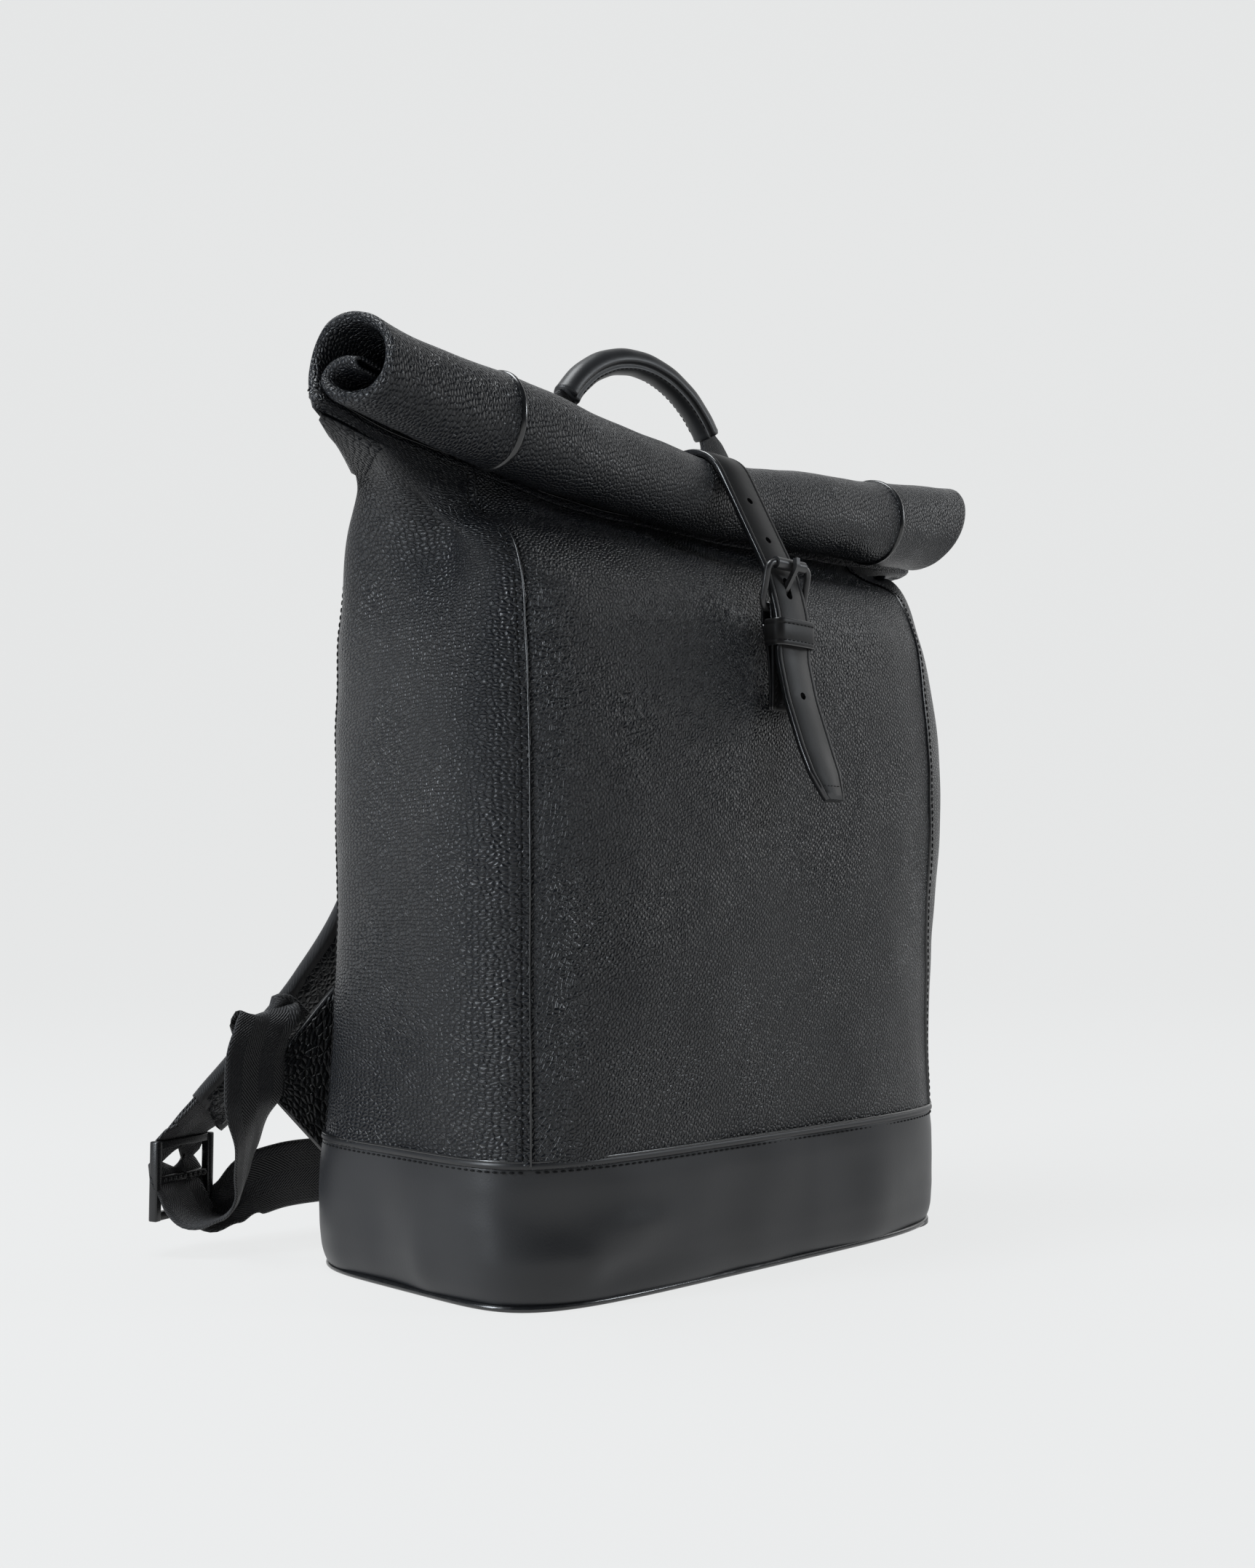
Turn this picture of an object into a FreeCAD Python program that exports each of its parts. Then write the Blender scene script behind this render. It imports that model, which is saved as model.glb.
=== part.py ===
"""Roll-top leather backpack, modelled as the separate pieces it is sewn and assembled from.

Frame: millimetres, +Z up, origin in the middle of the flat underside, the front panel faces -Y.
Soft pieces are plain closed solids of the right size and place. Metal pieces have their real shape.
"""

import FreeCAD, Part
import math
import os

V = FreeCAD.Vector

# ---- driving dimensions of the bag body ----
BODY_HALF_WIDTH = 150.0
SEAM_X = 137.0                 # vertical seams between the front or back panel and the side panels
LEATHER = 2.0
LINING = 0.8
BACK_PADDING = 7.0             # the lining stands this much further in at the back, leaving room for the foam
BASE_HEIGHT = 56.0
WALL_TOP = 300.0
NECK_Z = 313.0
NECK_HALF_WIDTH = 150.0
# (height, half width, front, back, corner radius) of the leather body, from base band to the top of the walls
WALL_SECTIONS = [
    (BASE_HEIGHT - 6, 147, -78, 78, 38),
    (120, BODY_HALF_WIDTH, -81.5, 80, 42),
    (200, BODY_HALF_WIDTH + 1, -82.5, 80, 44),
    (260, BODY_HALF_WIDTH - 1, -79.5, 77, 44),
    (WALL_TOP, BODY_HALF_WIDTH - 4, -70, 68, 40),
]
BASE_SECTIONS = [(2.0, 143, -77, 77, 36), (20, 148, -81, 80, 40), (BASE_HEIGHT, 149.5, -80.5, 80.5, 40)]
WELT = 2.6

# ---- rolled top: a flattened leather tube, rolled towards the front ----
ROLL_HALF_WIDTH = 214.0
ROLL_RISE = 17.0               # the roll's ends stand this much higher than its middle
ROLL_SKEW_LEFT = -12.0         # the left end lies this much further to the front than the middle,
ROLL_SKEW_RIGHT = 8.0          # and the right end this much further back
ROLL_BACK_Y = -17.3
ROLL_RADIUS = 16.4
ROLL_AXIS_Z = 341.6
ROLL_BOTTOM_Z = 326.5
COLLAR_LAYER = 2.1
COLLAR_GAP = 0.5               # between the front and the back layer of the flattened tube

# ---- closing strap and roller buckle ----
STRAP_X = 3.0
STRAP_WIDTH = 22.0
STRAP_THICK = 3.0
BUCKLE_WIRE = 1.5
BUCKLE_INNER = 24.6
ROLLER_RADIUS = 2.7
ROLLER_Y, ROLLER_Z = -84.9, 304.0
BASE_BAR_Y, BASE_BAR_Z = -80.6, 284.0
HOLE_RADIUS = 2.2
RUNNING_GAP = 0.1              # between a bar and the roller or prong that turns on it
CHAPE_WIDTH = 22.0
CHAPE_END_Z = 239.0
KEEPER_LOW_Z, KEEPER_HIGH_Z = 267.0, 279.0

# ---- carrying handle ----
HANDLE_Y = 5.0
HANDLE_HALF_SPAN = 48.0
HANDLE_END_Z = 388.0
HANDLE_PEAK_Z = 414.0
HANDLE_RADIUS = 6.5
HANDLE_PIVOT_Y, HANDLE_PIVOT_Z = 12.0, 311.5
HANDLE_FOOT_X = 57.5

# ---- shoulder harness, left side; the right side is its mirror image ----
PAD_THICK = 9.0
WEBBING_WIDTH = 30.0
WEBBING_THICK = 1.6
YOKE_Z = 318.0


# ---------- small helpers ----------
def save(name, shape):
    """Writes one sub-part as STEP and reports what it is."""
    solids = shape.Solids
    bad = [s for s in solids if not s.isValid() or s.Volume <= 0]
    print(f"{name:28s} solids {len(solids)}  volume {sum(s.Volume for s in solids) / 1000:8.2f} cm3"
          + ("  INVALID" if bad or not solids else ""))
    if len(solids) == 1:
        shape = solids[0]
    shape.exportStep(f"parts/{name}.step")


def box(x0, x1, y0, y1, z0, z1):
    return Part.makeBox(x1 - x0, y1 - y0, z1 - z0, V(x0, y0, z0))


def mirrored(shape):
    return shape.mirror(V(0, 0, 0), V(1, 0, 0))


def rounded_outline(z, half_width, front, back, radius, inset=0.0):
    """Closed wire of four straight edges and four quarter arcs in the plane at height z."""
    hw, yf, yb = half_width - inset, front + inset, back - inset
    r = max(radius - inset, 0.6)
    k = r * (1 - math.sqrt(0.5))
    corners = [(hw, yf, -1, 1), (hw, yb, -1, -1), (-hw, yb, 1, -1), (-hw, yf, 1, 1)]
    edges = []
    for i, (x, y, sx, sy) in enumerate(corners):
        along_y = V(x, y + sy * r, z)
        along_x = V(x + sx * r, y, z)
        middle = V(x + sx * k, y + sy * k, z)
        first, last = (along_x, along_y) if i % 2 == 0 else (along_y, along_x)
        edges.append(Part.Arc(first, middle, last).toShape())
        nx, ny, nsx, nsy = corners[(i + 1) % 4]
        nxt = V(nx, ny + nsy * r, z) if i % 2 == 0 else V(nx + nsx * r, ny, z)
        edges.append(Part.LineSegment(last, nxt).toShape())
    return Part.Wire(edges)


def solid_loft(sections, inset=0.0, ruled=False):
    wires = [rounded_outline(*s, inset=inset) for s in sections]
    return Part.makeLoft(wires, True, ruled)


def rounded_path(points, radii):
    """A polyline in the (y, z) plane with tangent arcs at its corners: a list of lines and arcs."""
    pts = [V(0, y, z) for y, z in points]
    pieces, start = [], pts[0]
    for i in range(1, len(pts) - 1):
        before = (pts[i] - pts[i - 1]).normalize()
        after = (pts[i + 1] - pts[i]).normalize()
        turn = before.y * after.z - before.z * after.y
        angle = before.getAngle(after)
        if abs(turn) < 1e-9:
            continue
        reach = radii[i - 1] * math.tan(angle / 2)
        a, b = pts[i] - before * reach, pts[i] + after * reach
        side = 1 if turn > 0 else -1
        centre = a + V(0, -before.z, before.y) * (side * radii[i - 1])
        pieces.append(("line", start, a, before))
        pieces.append(("arc", a, b, centre, side, before, after))
        start = b
    pieces.append(("line", start, pts[-1], (pts[-1] - pts[-2]).normalize()))
    return pieces


def offset_edges(pieces, d):
    """Edges of the path moved d to its left, and the two end points."""
    edges, first, last = [], None, None
    for p in pieces:
        if p[0] == "line":
            shift = V(0, -p[3].z, p[3].y) * d
            a, b = p[1] + shift, p[2] + shift
            if (b - a).Length > 1e-6:
                edges.append(Part.LineSegment(a, b).toShape())
        else:
            _, a0, b0, centre, side, before, after = p
            a = a0 + V(0, -before.z, before.y) * d
            b = b0 + V(0, -after.z, after.y) * d
            half = ((a - centre).normalize() + (b - centre).normalize())
            if half.Length < 1e-6:
                half = before * 1.0
            middle = centre + half.normalize() * (a - centre).Length
            edges.append(Part.Arc(a, middle, b).toShape())
        first = first or a
        last = b
    return edges, first, last


def band(pieces, d_low, d_high, x_start, extrude):
    """A flat strip that follows the path, between two offsets, extruded by the given vector from x_start."""
    low, a0, a1 = offset_edges(pieces, d_low)
    high, b0, b1 = offset_edges(pieces, d_high)
    edges = low + [Part.LineSegment(a1, b1).toShape()] + high + [Part.LineSegment(a0, b0).toShape()]
    wire = Part.Wire(Part.__sortEdges__(edges))
    face = Part.Face(wire)
    face.translate(V(x_start, 0, 0))
    return face.extrude(extrude)


def ribbon(stations, width, thickness, lift=0.0):
    """A strip through stations of (centre, width direction), which may bend and twist, lifted off them."""
    rings = []
    for i, (c, w) in enumerate(stations):
        centre = V(*c)
        before = V(*stations[max(i - 1, 0)][0])
        after = V(*stations[min(i + 1, len(stations) - 1)][0])
        along = (after - before).normalize()
        across = V(*w)
        across = (across - along * across.dot(along)).normalize()
        normal = along.cross(across).normalize()
        half_w = (width[i] if isinstance(width, (list, tuple)) else width) / 2
        half_t = (thickness[i] if isinstance(thickness, (list, tuple)) else thickness) / 2
        rings.append([centre + across * (sx * half_w) + normal * (lift + sz * half_t)
                      for sx, sz in ((-1, -1), (1, -1), (1, 1), (-1, 1))])
    return faceted(rings)


def faceted(rings):
    """Closed solid of flat triangles between neighbouring rings of four corners, with both ends closed.

    Upper and lower faces have their diagonals the same way, so that layers lying on each other stay clear."""
    faces = [flat(rings[0]), flat(rings[-1])]
    for a, b in zip(rings, rings[1:]):
        for i in range(4):
            j = (i + 1) % 4
            if i < 2:
                faces += [flat([a[i], a[j], b[j]]), flat([a[i], b[j], b[i]])]
            else:
                faces += [flat([a[i], a[j], b[i]]), flat([a[j], b[j], b[i]])]
    shell = Part.makeShell(faces)
    shell.sewShape()
    solid = Part.makeSolid(shell)
    if solid.Volume < 0:
        solid.reverse()
    return solid


def flat(corners):
    return Part.Face(Part.makePolygon(corners + [corners[0]]))


# ---------- leather body ----------
def neck_section(inset=0.0):
    return (NECK_Z, NECK_HALF_WIDTH, ROLL_BACK_Y - 4.0, ROLL_BACK_Y + 4.0, 3.5 - inset)


def body_shell(outside, inside):
    """The body's wall between two insets from the outer face, with its closing shoulders up to the neck."""
    wall = solid_loft(WALL_SECTIONS, outside).cut(solid_loft(WALL_SECTIONS, inside))
    top_outer = Part.makeLoft([rounded_outline(*WALL_SECTIONS[-1], inset=outside),
                               rounded_outline(*neck_section(), inset=0)], True, True)
    top_inner = Part.makeLoft([rounded_outline(*WALL_SECTIONS[-1], inset=inside),
                               rounded_outline(NECK_Z - 0.6, NECK_HALF_WIDTH - 3, ROLL_BACK_Y - 1.6,
                                               ROLL_BACK_Y + 1.6, 1.4)], True, True)
    slot = box(-NECK_HALF_WIDTH + 4, NECK_HALF_WIDTH - 4,
               ROLL_BACK_Y - 1.2, ROLL_BACK_Y + 1.2, NECK_Z - 3, NECK_Z + 1)
    return wall.fuse(top_outer.cut(top_inner).cut(slot)).removeSplitter()


def make_panels():
    shell = body_shell(0, LEATHER)
    far = 400
    regions = {
        "front_panel": box(-SEAM_X, SEAM_X, -far, ROLL_BACK_Y, 0, far),
        "back_panel": box(-SEAM_X, SEAM_X, ROLL_BACK_Y, far, 0, far),
        "left_side_panel": box(-far, -SEAM_X, -far, far, 0, far),
        "right_side_panel": box(SEAM_X, far, -far, far, 0, far),
    }
    for name, region in regions.items():
        save(name, shell.common(region))


def make_seam_welts():
    """Raised edge-painted strips beside the four vertical seams."""
    raised = solid_loft(WALL_SECTIONS, -1.1).cut(solid_loft(WALL_SECTIONS, -0.1))
    for side, x in (("left", -SEAM_X), ("right", SEAM_X)):
        for face, y0, y1 in (("front", -400, 0), ("back", 0, 400)):
            strip = raised.common(box(x - WELT / 2, x + WELT / 2, y0, y1, BASE_HEIGHT + 2.6, WALL_TOP - 2))
            save(f"{side}_{face}_seam_welt", strip)


def ring(sections, outset, depth):
    return solid_loft(sections, -outset).cut(solid_loft(sections, depth - outset))


def make_base():
    save("base_band", ring(BASE_SECTIONS, 1.6, 1.4))
    z, hw, yf, yb, r = BASE_SECTIONS[-1]
    top = [(BASE_HEIGHT + 0.1, hw, yf, yb, r), (BASE_HEIGHT + 2.4, hw, yf, yb, r)]
    save("base_top_binding", ring(top, 2.6, 2.4))
    z, hw, yf, yb, r = BASE_SECTIONS[0]
    foot = [(0.0, hw, yf, yb, r), (1.9, hw, yf, yb, r)]
    save("bottom_welt", ring(foot, 2.4, 5.0))
    inner = [(0.0, hw, yf, yb, r), (LEATHER, hw, yf, yb, r)]
    save("bottom_panel", solid_loft(inner, 2.8))
    board = [(LEATHER + 0.2, hw, yf, yb, r), (LEATHER + 2.2, hw, yf, yb, r)]
    save("base_stiffener", solid_loft(board, 4.0))


def make_inside():
    floor = (8.0, 141, -74, 74 - BACK_PADDING, 34)
    walls = [(z, hw, yf, yb - BACK_PADDING, r) for z, hw, yf, yb, r in WALL_SECTIONS[1:]]
    hollow = [(8.0 + LINING,) + floor[1:]] + walls
    outer = solid_loft([floor] + walls, LEATHER + 0.4, True)
    save("lining", outer.cut(solid_loft(hollow, LEATHER + 0.4 + LINING, True)))
    foam = box(-104, 104, 71.0, 75.4, 20.0, 240.0)
    save("back_foam", foam.makeFillet(1.8, foam.Edges))


# ---------- rolled top ----------
def roll_path():
    """Up behind the roll, over its top, down the front, under it and back on itself as an inner fold."""
    front_y = ROLL_BACK_Y - 2 * ROLL_RADIUS
    top_z = ROLL_AXIS_Z + ROLL_RADIUS
    fold_y, fold_radius = ROLL_BACK_Y - 9.7, 6.0
    points = [(ROLL_BACK_Y, NECK_Z + 3), (ROLL_BACK_Y, top_z), (front_y, top_z), (front_y, ROLL_BOTTOM_Z),
              (fold_y, ROLL_BOTTOM_Z), (fold_y, ROLL_BOTTOM_Z + 2 * fold_radius),
              (fold_y - 14.0, ROLL_BOTTOM_Z + 2 * fold_radius)]
    corner = ROLL_RADIUS - 0.01
    return rounded_path(points, [corner, corner, 10.5, fold_radius - 0.01, fold_radius - 0.01])


def both_halves(make):
    left = make(V(-ROLL_HALF_WIDTH, ROLL_SKEW_LEFT, ROLL_RISE))
    right = make(V(ROLL_HALF_WIDTH, ROLL_SKEW_RIGHT, ROLL_RISE))
    return left.fuse(right).removeSplitter()


def neck_strip(low, high):
    """The short stretch between the straight neck and the slanted start of the roll, from end to end."""
    inner = NECK_HALF_WIDTH - 6
    rings = []
    for x in (-ROLL_HALF_WIDTH + 0.5, -inner, 0, inner, ROLL_HALF_WIDTH - 0.5):
        share = abs(x) / ROLL_HALF_WIDTH
        top_y = ROLL_BACK_Y + share * (ROLL_SKEW_LEFT if x < 0 else ROLL_SKEW_RIGHT)
        top_z = NECK_Z + 3.3 + share * ROLL_RISE
        beyond = max(0.0, (abs(x) - inner) / (ROLL_HALF_WIDTH - inner))
        foot_y = ROLL_BACK_Y + beyond * (top_y - ROLL_BACK_Y)
        foot_z = NECK_Z + 0.2 + beyond * (top_z - 0.5 - NECK_Z - 0.2)
        rings.append([V(x, foot_y - high, foot_z), V(x, foot_y - low, foot_z),
                      V(x, top_y - low, top_z), V(x, top_y - high, top_z)])
    return faceted(rings)


def make_roll():
    """Front and back layer of the collar, each one piece from the neck seam to its rolled-in end."""
    path = roll_path()
    gap = COLLAR_GAP / 2
    for name, low in (("collar_back", -gap - COLLAR_LAYER), ("collar_front", gap)):
        high = low + COLLAR_LAYER
        rolled = both_halves(lambda way: band(path, low, high, 0, way))
        save(name, rolled.fuse(neck_strip(low, high)).removeSplitter())


# ---------- closing strap ----------
def strap_path():
    """From its anchor on the bag's top, up behind the roll, over it and down the front into the keeper."""
    points = [(52.0, 304.2), (-11.8, 315.0), (-11.8, 363.5), (-46.5, 363.5),
              (-79.96, 303.4), (-86.4, 282.0), (-86.6, 262.4)]
    return rounded_path(points, [9.0, 18.5, 22.0, 60.0, 30.0])


def tip_path():
    return rounded_path([(-86.6, 261.9), (-87.4, 232.0), (-107.0, 202.0)], [60.0])


def round_hole(y, z, normal_y, normal_z, radius=HOLE_RADIUS):
    way = V(0, normal_y, normal_z).normalize()
    return Part.makeCylinder(radius, 16, V(STRAP_X, y, z) - way * 8, way)


def make_strap():
    half = STRAP_WIDTH / 2
    way = V(STRAP_WIDTH, 0, 0)
    strap = band(strap_path(), -STRAP_THICK / 2, STRAP_THICK / 2, STRAP_X - half, way)
    # oblong hole that the prong leans through
    down = V(0, -16.0, -51.5).normalize()
    prong_hole = V(0, -82.85, 293.4)
    for offset in (-2.4, 0, 2.4):
        at = prong_hole + down * offset
        strap = strap.cut(round_hole(at.y, at.z, down.z, -down.y))
    # the next two holes up the strap
    for y, z in ((-72.95, 316.0), (-61.8, 336.0)):
        strap = strap.cut(round_hole(y, z, -60.1, 33.46))
    save("closing_strap", strap)
    tip = band(tip_path(), -STRAP_THICK / 2, STRAP_THICK / 2, STRAP_X - half, way)
    tip = tip.cut(round_hole(-87.1, 245.0, 1, 0.02))
    # the tip is cut off at a slant
    nose = [V(STRAP_X - half - 1, -200, 190), V(STRAP_X - 5, -200, 190), V(STRAP_X - half - 1, -200, 218)]
    wedge = Part.Face(Part.makePolygon(nose + [nose[0]])).extrude(V(0, 200, 0))
    save("strap_tip", tip.cut(wedge))
    patch = rounded_path([(60.0, 305.6), (26.0, 311.2)], [])
    save("strap_anchor_patch", band(patch, -1.2, 0.6, STRAP_X - 16, V(32, 0, 0)))


def make_chape():
    """Leather tab folded round the buckle's base bar and sewn to the front panel."""
    y, z = BASE_BAR_Y, BASE_BAR_Z
    r_in, r_out = BUCKLE_WIRE + 0.25, BUCKLE_WIRE + 1.65
    x0 = STRAP_X - CHAPE_WIDTH / 2
    way = V(1, 0, 0)
    loop = Part.makeCylinder(r_out, CHAPE_WIDTH, V(x0, y, z), way)
    profile = [(y - r_out, z), (-84.5, z - 12), (-84.6, CHAPE_END_Z + 6), (-84.0, CHAPE_END_Z),
               (-82.1, CHAPE_END_Z), (-80.6, z - 22), (-79.0, z - 10), (y + r_out, z)]
    pts = [V(x0, py, pz) for py, pz in profile]
    tab = Part.Face(Part.makePolygon(pts + [pts[0]])).extrude(way * CHAPE_WIDTH)
    hollow = Part.makeCylinder(r_in, CHAPE_WIDTH + 2, V(x0 - 1, y, z), way)
    prong_slot = box(STRAP_X - 2.8, STRAP_X + 2.8, y - 8, y + 8, z - 6, z + 8)
    save("buckle_chape", loop.fuse(tab).cut(hollow).cut(prong_slot).removeSplitter())


def make_keeper():
    """Closed leather loop that holds the strap down below the buckle."""
    wall, clear = 1.5, 0.4
    x0, x1 = STRAP_X - STRAP_WIDTH / 2 - clear, STRAP_X + STRAP_WIDTH / 2 + clear
    y_front, y_back = -88.3 - clear, -79.3
    outer = box(x0 - wall, x1 + wall, y_front - wall, y_back, KEEPER_LOW_Z, KEEPER_HIGH_Z)
    inner = box(x0, x1, y_front, y_back + 1, KEEPER_LOW_Z - 1, KEEPER_HIGH_Z + 1)
    save("strap_keeper", outer.cut(inner))


def make_buckle():
    """Rectangular wire frame on the base bar, with a roller on its front bar and a prong."""
    half = BUCKLE_INNER / 2 + BUCKLE_WIRE
    bend = 4.0
    up = V(0, ROLLER_Y - BASE_BAR_Y, ROLLER_Z - BASE_BAR_Z)
    length = up.Length
    up.normalize()
    origin = V(STRAP_X, BASE_BAR_Y, BASE_BAR_Z)
    along = V(1, 0, 0)

    def at(u, w):
        return origin + along * u + up * w

    def corner(cu, cw, su, sw):
        k = bend * (1 - math.sqrt(0.5))
        return at(cu - su * k, cw - sw * k)

    edges = [Part.LineSegment(at(-half + bend, 0), at(half - bend, 0)).toShape(),
             Part.Arc(at(half - bend, 0), corner(half, 0, 1, -1), at(half, bend)).toShape(),
             Part.LineSegment(at(half, bend), at(half, length - bend)).toShape(),
             Part.Arc(at(half, length - bend), corner(half, length, 1, 1), at(half - bend, length)).toShape(),
             Part.LineSegment(at(half - bend, length), at(-half + bend, length)).toShape(),
             Part.Arc(at(-half + bend, length), corner(-half, length, -1, 1), at(-half, length - bend)).toShape(),
             Part.LineSegment(at(-half, length - bend), at(-half, bend)).toShape(),
             Part.Arc(at(-half, bend), corner(-half, 0, -1, -1), at(-half + bend, 0)).toShape()]
    profile = Part.Wire(Part.makeCircle(BUCKLE_WIRE, at(0, 0), along))
    spine = Part.Wire(edges)
    save("buckle_frame", spine.makePipeShell([profile], True, False, 2))
    roller_half = BUCKLE_INNER / 2 - 2.8
    roller_start = V(STRAP_X - roller_half, ROLLER_Y, ROLLER_Z)
    tube = Part.makeCylinder(ROLLER_RADIUS, 2 * roller_half, roller_start, along)
    bore = Part.makeCylinder(BUCKLE_WIRE + RUNNING_GAP, 2 * roller_half + 2,
                             V(STRAP_X - roller_half - 1, ROLLER_Y, ROLLER_Z), along)
    save("buckle_roller", tube.cut(bore))
    # prong: an eye round the base bar, a shank through the strap's hole, a tip that lies over the roller
    wire = 1.1
    eye = Part.makeCylinder(BUCKLE_WIRE + 1.5, 2 * wire, V(STRAP_X - wire, BASE_BAR_Y, BASE_BAR_Z), along)
    bar_start = V(STRAP_X - wire - 1, BASE_BAR_Y, BASE_BAR_Z)
    bar_way = Part.makeCylinder(BUCKLE_WIRE + RUNNING_GAP, 2 * wire + 2, bar_start, along)
    over_roller = ROLLER_Y - ROLLER_RADIUS - wire - 0.45
    shank = rounded_path([(BASE_BAR_Y + 0.6, BASE_BAR_Z + 2.3), (BASE_BAR_Y + 0.6, BASE_BAR_Z + 5.2),
                          (over_roller, ROLLER_Z - 1.5), (over_roller, ROLLER_Z + 2.6)], [2.4, 4.0])
    prong = eye.fuse(band(shank, -wire, wire, STRAP_X - wire, V(2 * wire, 0, 0)))
    save("buckle_prong", prong.cut(bar_way).removeSplitter())


# ---------- carrying handle ----------
def make_handle():
    left = V(-HANDLE_HALF_SPAN, HANDLE_Y, HANDLE_END_Z)
    peak = V(0, HANDLE_Y, HANDLE_PEAK_Z)
    right = V(HANDLE_HALF_SPAN, HANDLE_Y, HANDLE_END_Z)
    arc = Part.Arc(left, peak, right)
    spine = Part.Wire(arc.toShape())
    start_way = arc.tangent(arc.FirstParameter)[0]

    def tube(radius):
        profile = Part.Wire(Part.makeCircle(radius, left, start_way))
        return spine.makePipeShell([profile], True, False)

    save("handle_grip", tube(HANDLE_RADIUS).cut(tube(HANDLE_RADIUS - 2.4)))
    save("handle_core", tube(HANDLE_RADIUS - 2.6))
    # webbing ends run from inside the grip down to the anchor on the shoulder
    for side, s in (("left", -1), ("right", 1)):
        inside = V(s * HANDLE_HALF_SPAN, HANDLE_Y, HANDLE_END_Z)
        down = V(s * 0.546, 0, -0.838)
        stations = [(tuple(inside + down * 0.5), (0.838, 0, s * 0.546)),
                    (tuple(inside + down * 8.0), (0.9, 0, s * 0.42)),
                    ((s * HANDLE_FOOT_X, HANDLE_Y + 2, 362.0), (1, 0, 0)),
                    ((s * HANDLE_FOOT_X, HANDLE_PIVOT_Y - 1, HANDLE_PIVOT_Z + 2.2), (1, 0, 0))]
        save(f"handle_{side}_webbing", ribbon(stations, [9, 12, 22, 25], [6, 4.5, 2.6, 2.4]))
        # the webbing's sewn foot on the top of the bag
        foot = rounded_path([(HANDLE_PIVOT_Y - 4, HANDLE_PIVOT_Z - 0.8),
                             (HANDLE_PIVOT_Y + 24, HANDLE_PIVOT_Z - 5.0)], [])
        save(f"handle_{side}_foot", band(foot, -1.0, 1.0, s * HANDLE_FOOT_X - 13, V(26, 0, 0)))


# ---------- shoulder harness ----------
STRAP_STATIONS = [
    ((-46, 78.2, 302), (1, 0, 0)), ((-48, 88.5, 283), (1, 0, 0)), ((-53, 93.5, 245), (0.995, 0, -0.1)),
    ((-62, 98, 200), (0.97, 0, -0.2)), ((-78, 104, 150), (0.93, 0.1, -0.3)), ((-104, 112, 112), (0.86, 0.25, -0.35)),
    ((-132, 119, 84), (0.84, 0.3, -0.3)), ((-156, 125, 62), (0.9, 0.3, -0.2)),
]
STRAP_WIDTHS = [50, 52, 54, 54, 52, 48, 42, 36]
# the webbing leaves the tab, turns its face sideways and falls, then bends under towards the adjuster
WEBBING_STATIONS = [
    ((-141.5, 90.2, 98.5), (0.69, 0, 0.72)), ((-149, 90.0, 104.5), (0.85, 0, 0.5)), ((-154, 86.5, 105.5), (0.96, 0, 0.25)),
    ((-158.5, 82.2, 97), (1, 0, 0.05)), ((-160.5, 81.9, 84), (1, 0, 0)), ((-160.5, 81.9, 64), (1, 0, 0)),
    ((-158, 88, 52), (0.8, 0.6, 0)), ((-153, 94, 38), (0.7, 0.7, 0)), ((-153, 97, 24), (0.6, 0.8, 0)),
    ((-157, 102.5, 15), (0.75, 0.6, 0)), ((-160, 110.5, 11.5), (0.9, 0.4, 0)),
]
TAIL_STATIONS = [
    ((-147, 130.0, 17), (0.3, 0.8, 0.5)), ((-138, 125, 25), (0, 0.35, 0.93)), ((-120, 122, 29), (0, 0.05, 1)),
    ((-98, 121, 29), (0, 0, 1)), ((-72, 119, 28), (0, 0, 1)),
]
ADJUSTER_CENTRE = V(-166, 131, 32.5)
ADJUSTER_YAW = 19.0            # degrees from +X to the direction of the adjuster's bars
ADJUSTER_WIDTH, ADJUSTER_HEIGHT, ADJUSTER_BAR = 38.0, 35.0, 3.4


def make_adjuster():
    """Ladder-lock adjuster: two upright rails and three level bars, with the webbing round the bars."""
    half_w, half_h, bar = ADJUSTER_WIDTH / 2, ADJUSTER_HEIGHT / 2, ADJUSTER_BAR
    body = box(-half_w, half_w, -bar / 2, bar / 2, -half_h, half_h)
    body = body.makeFillet(1.2, [e for e in body.Edges if abs(e.tangentAt(e.FirstParameter).y) > 0.9])
    for z0, z1 in ((-half_h + bar, -bar / 2), (bar / 2, half_h - bar)):
        body = body.cut(box(-half_w + bar, half_w - bar, -bar, bar, z0, z1))
    body.rotate(V(0, 0, 0), V(0, 0, 1), ADJUSTER_YAW)
    body.translate(ADJUSTER_CENTRE)
    return body


def make_harness():
    face = [(c, w) for c, w in STRAP_STATIONS]
    parts = {
        "shoulder_strap_pad": ribbon(face, [w - 4 for w in STRAP_WIDTHS], [5, 5, 5, 5, 5, 5, 4.5, 4]),
        "lower_webbing": ribbon(WEBBING_STATIONS, WEBBING_WIDTH, WEBBING_THICK),
        "webbing_tail": ribbon(TAIL_STATIONS, WEBBING_WIDTH, WEBBING_THICK),
        "strap_adjuster": make_adjuster(),
    }
    parts["shoulder_strap_leather"] = ribbon(face, STRAP_WIDTHS, 1.6, 4.7)
    parts["shoulder_strap_lining"] = ribbon(face, STRAP_WIDTHS, 1.2, -4.6)
    loop = [((-162.0, 127.0, 58.2), (0.947, 0.325, -0.12)), ((-164.4, 130.2, 53.2), (0.947, 0.325, 0))]
    parts["adjuster_loop"] = ribbon(loop, [29, 30], 3.0)
    parts["corner_tab"] = make_tab()
    for name, shape in parts.items():
        save(f"left_{name}", shape)
        save(f"right_{name}", mirrored(shape))


def make_tab():
    """Triangular leather tab, two layers thick, sewn into the back corner seam; its point faces outwards."""
    point = (-156.0, 77.0)
    top, bottom = (-120.0, 115.0), (-126.0, 46.0)
    y0, y1 = 83.6, 87.0
    pts = [V(x, y0, z) for x, z in (point, top, (-112, 108), (-112, 52), bottom)]
    tab = Part.Face(Part.makePolygon(pts + [pts[0]])).extrude(V(0, y1 - y0, 0))
    return tab


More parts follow.
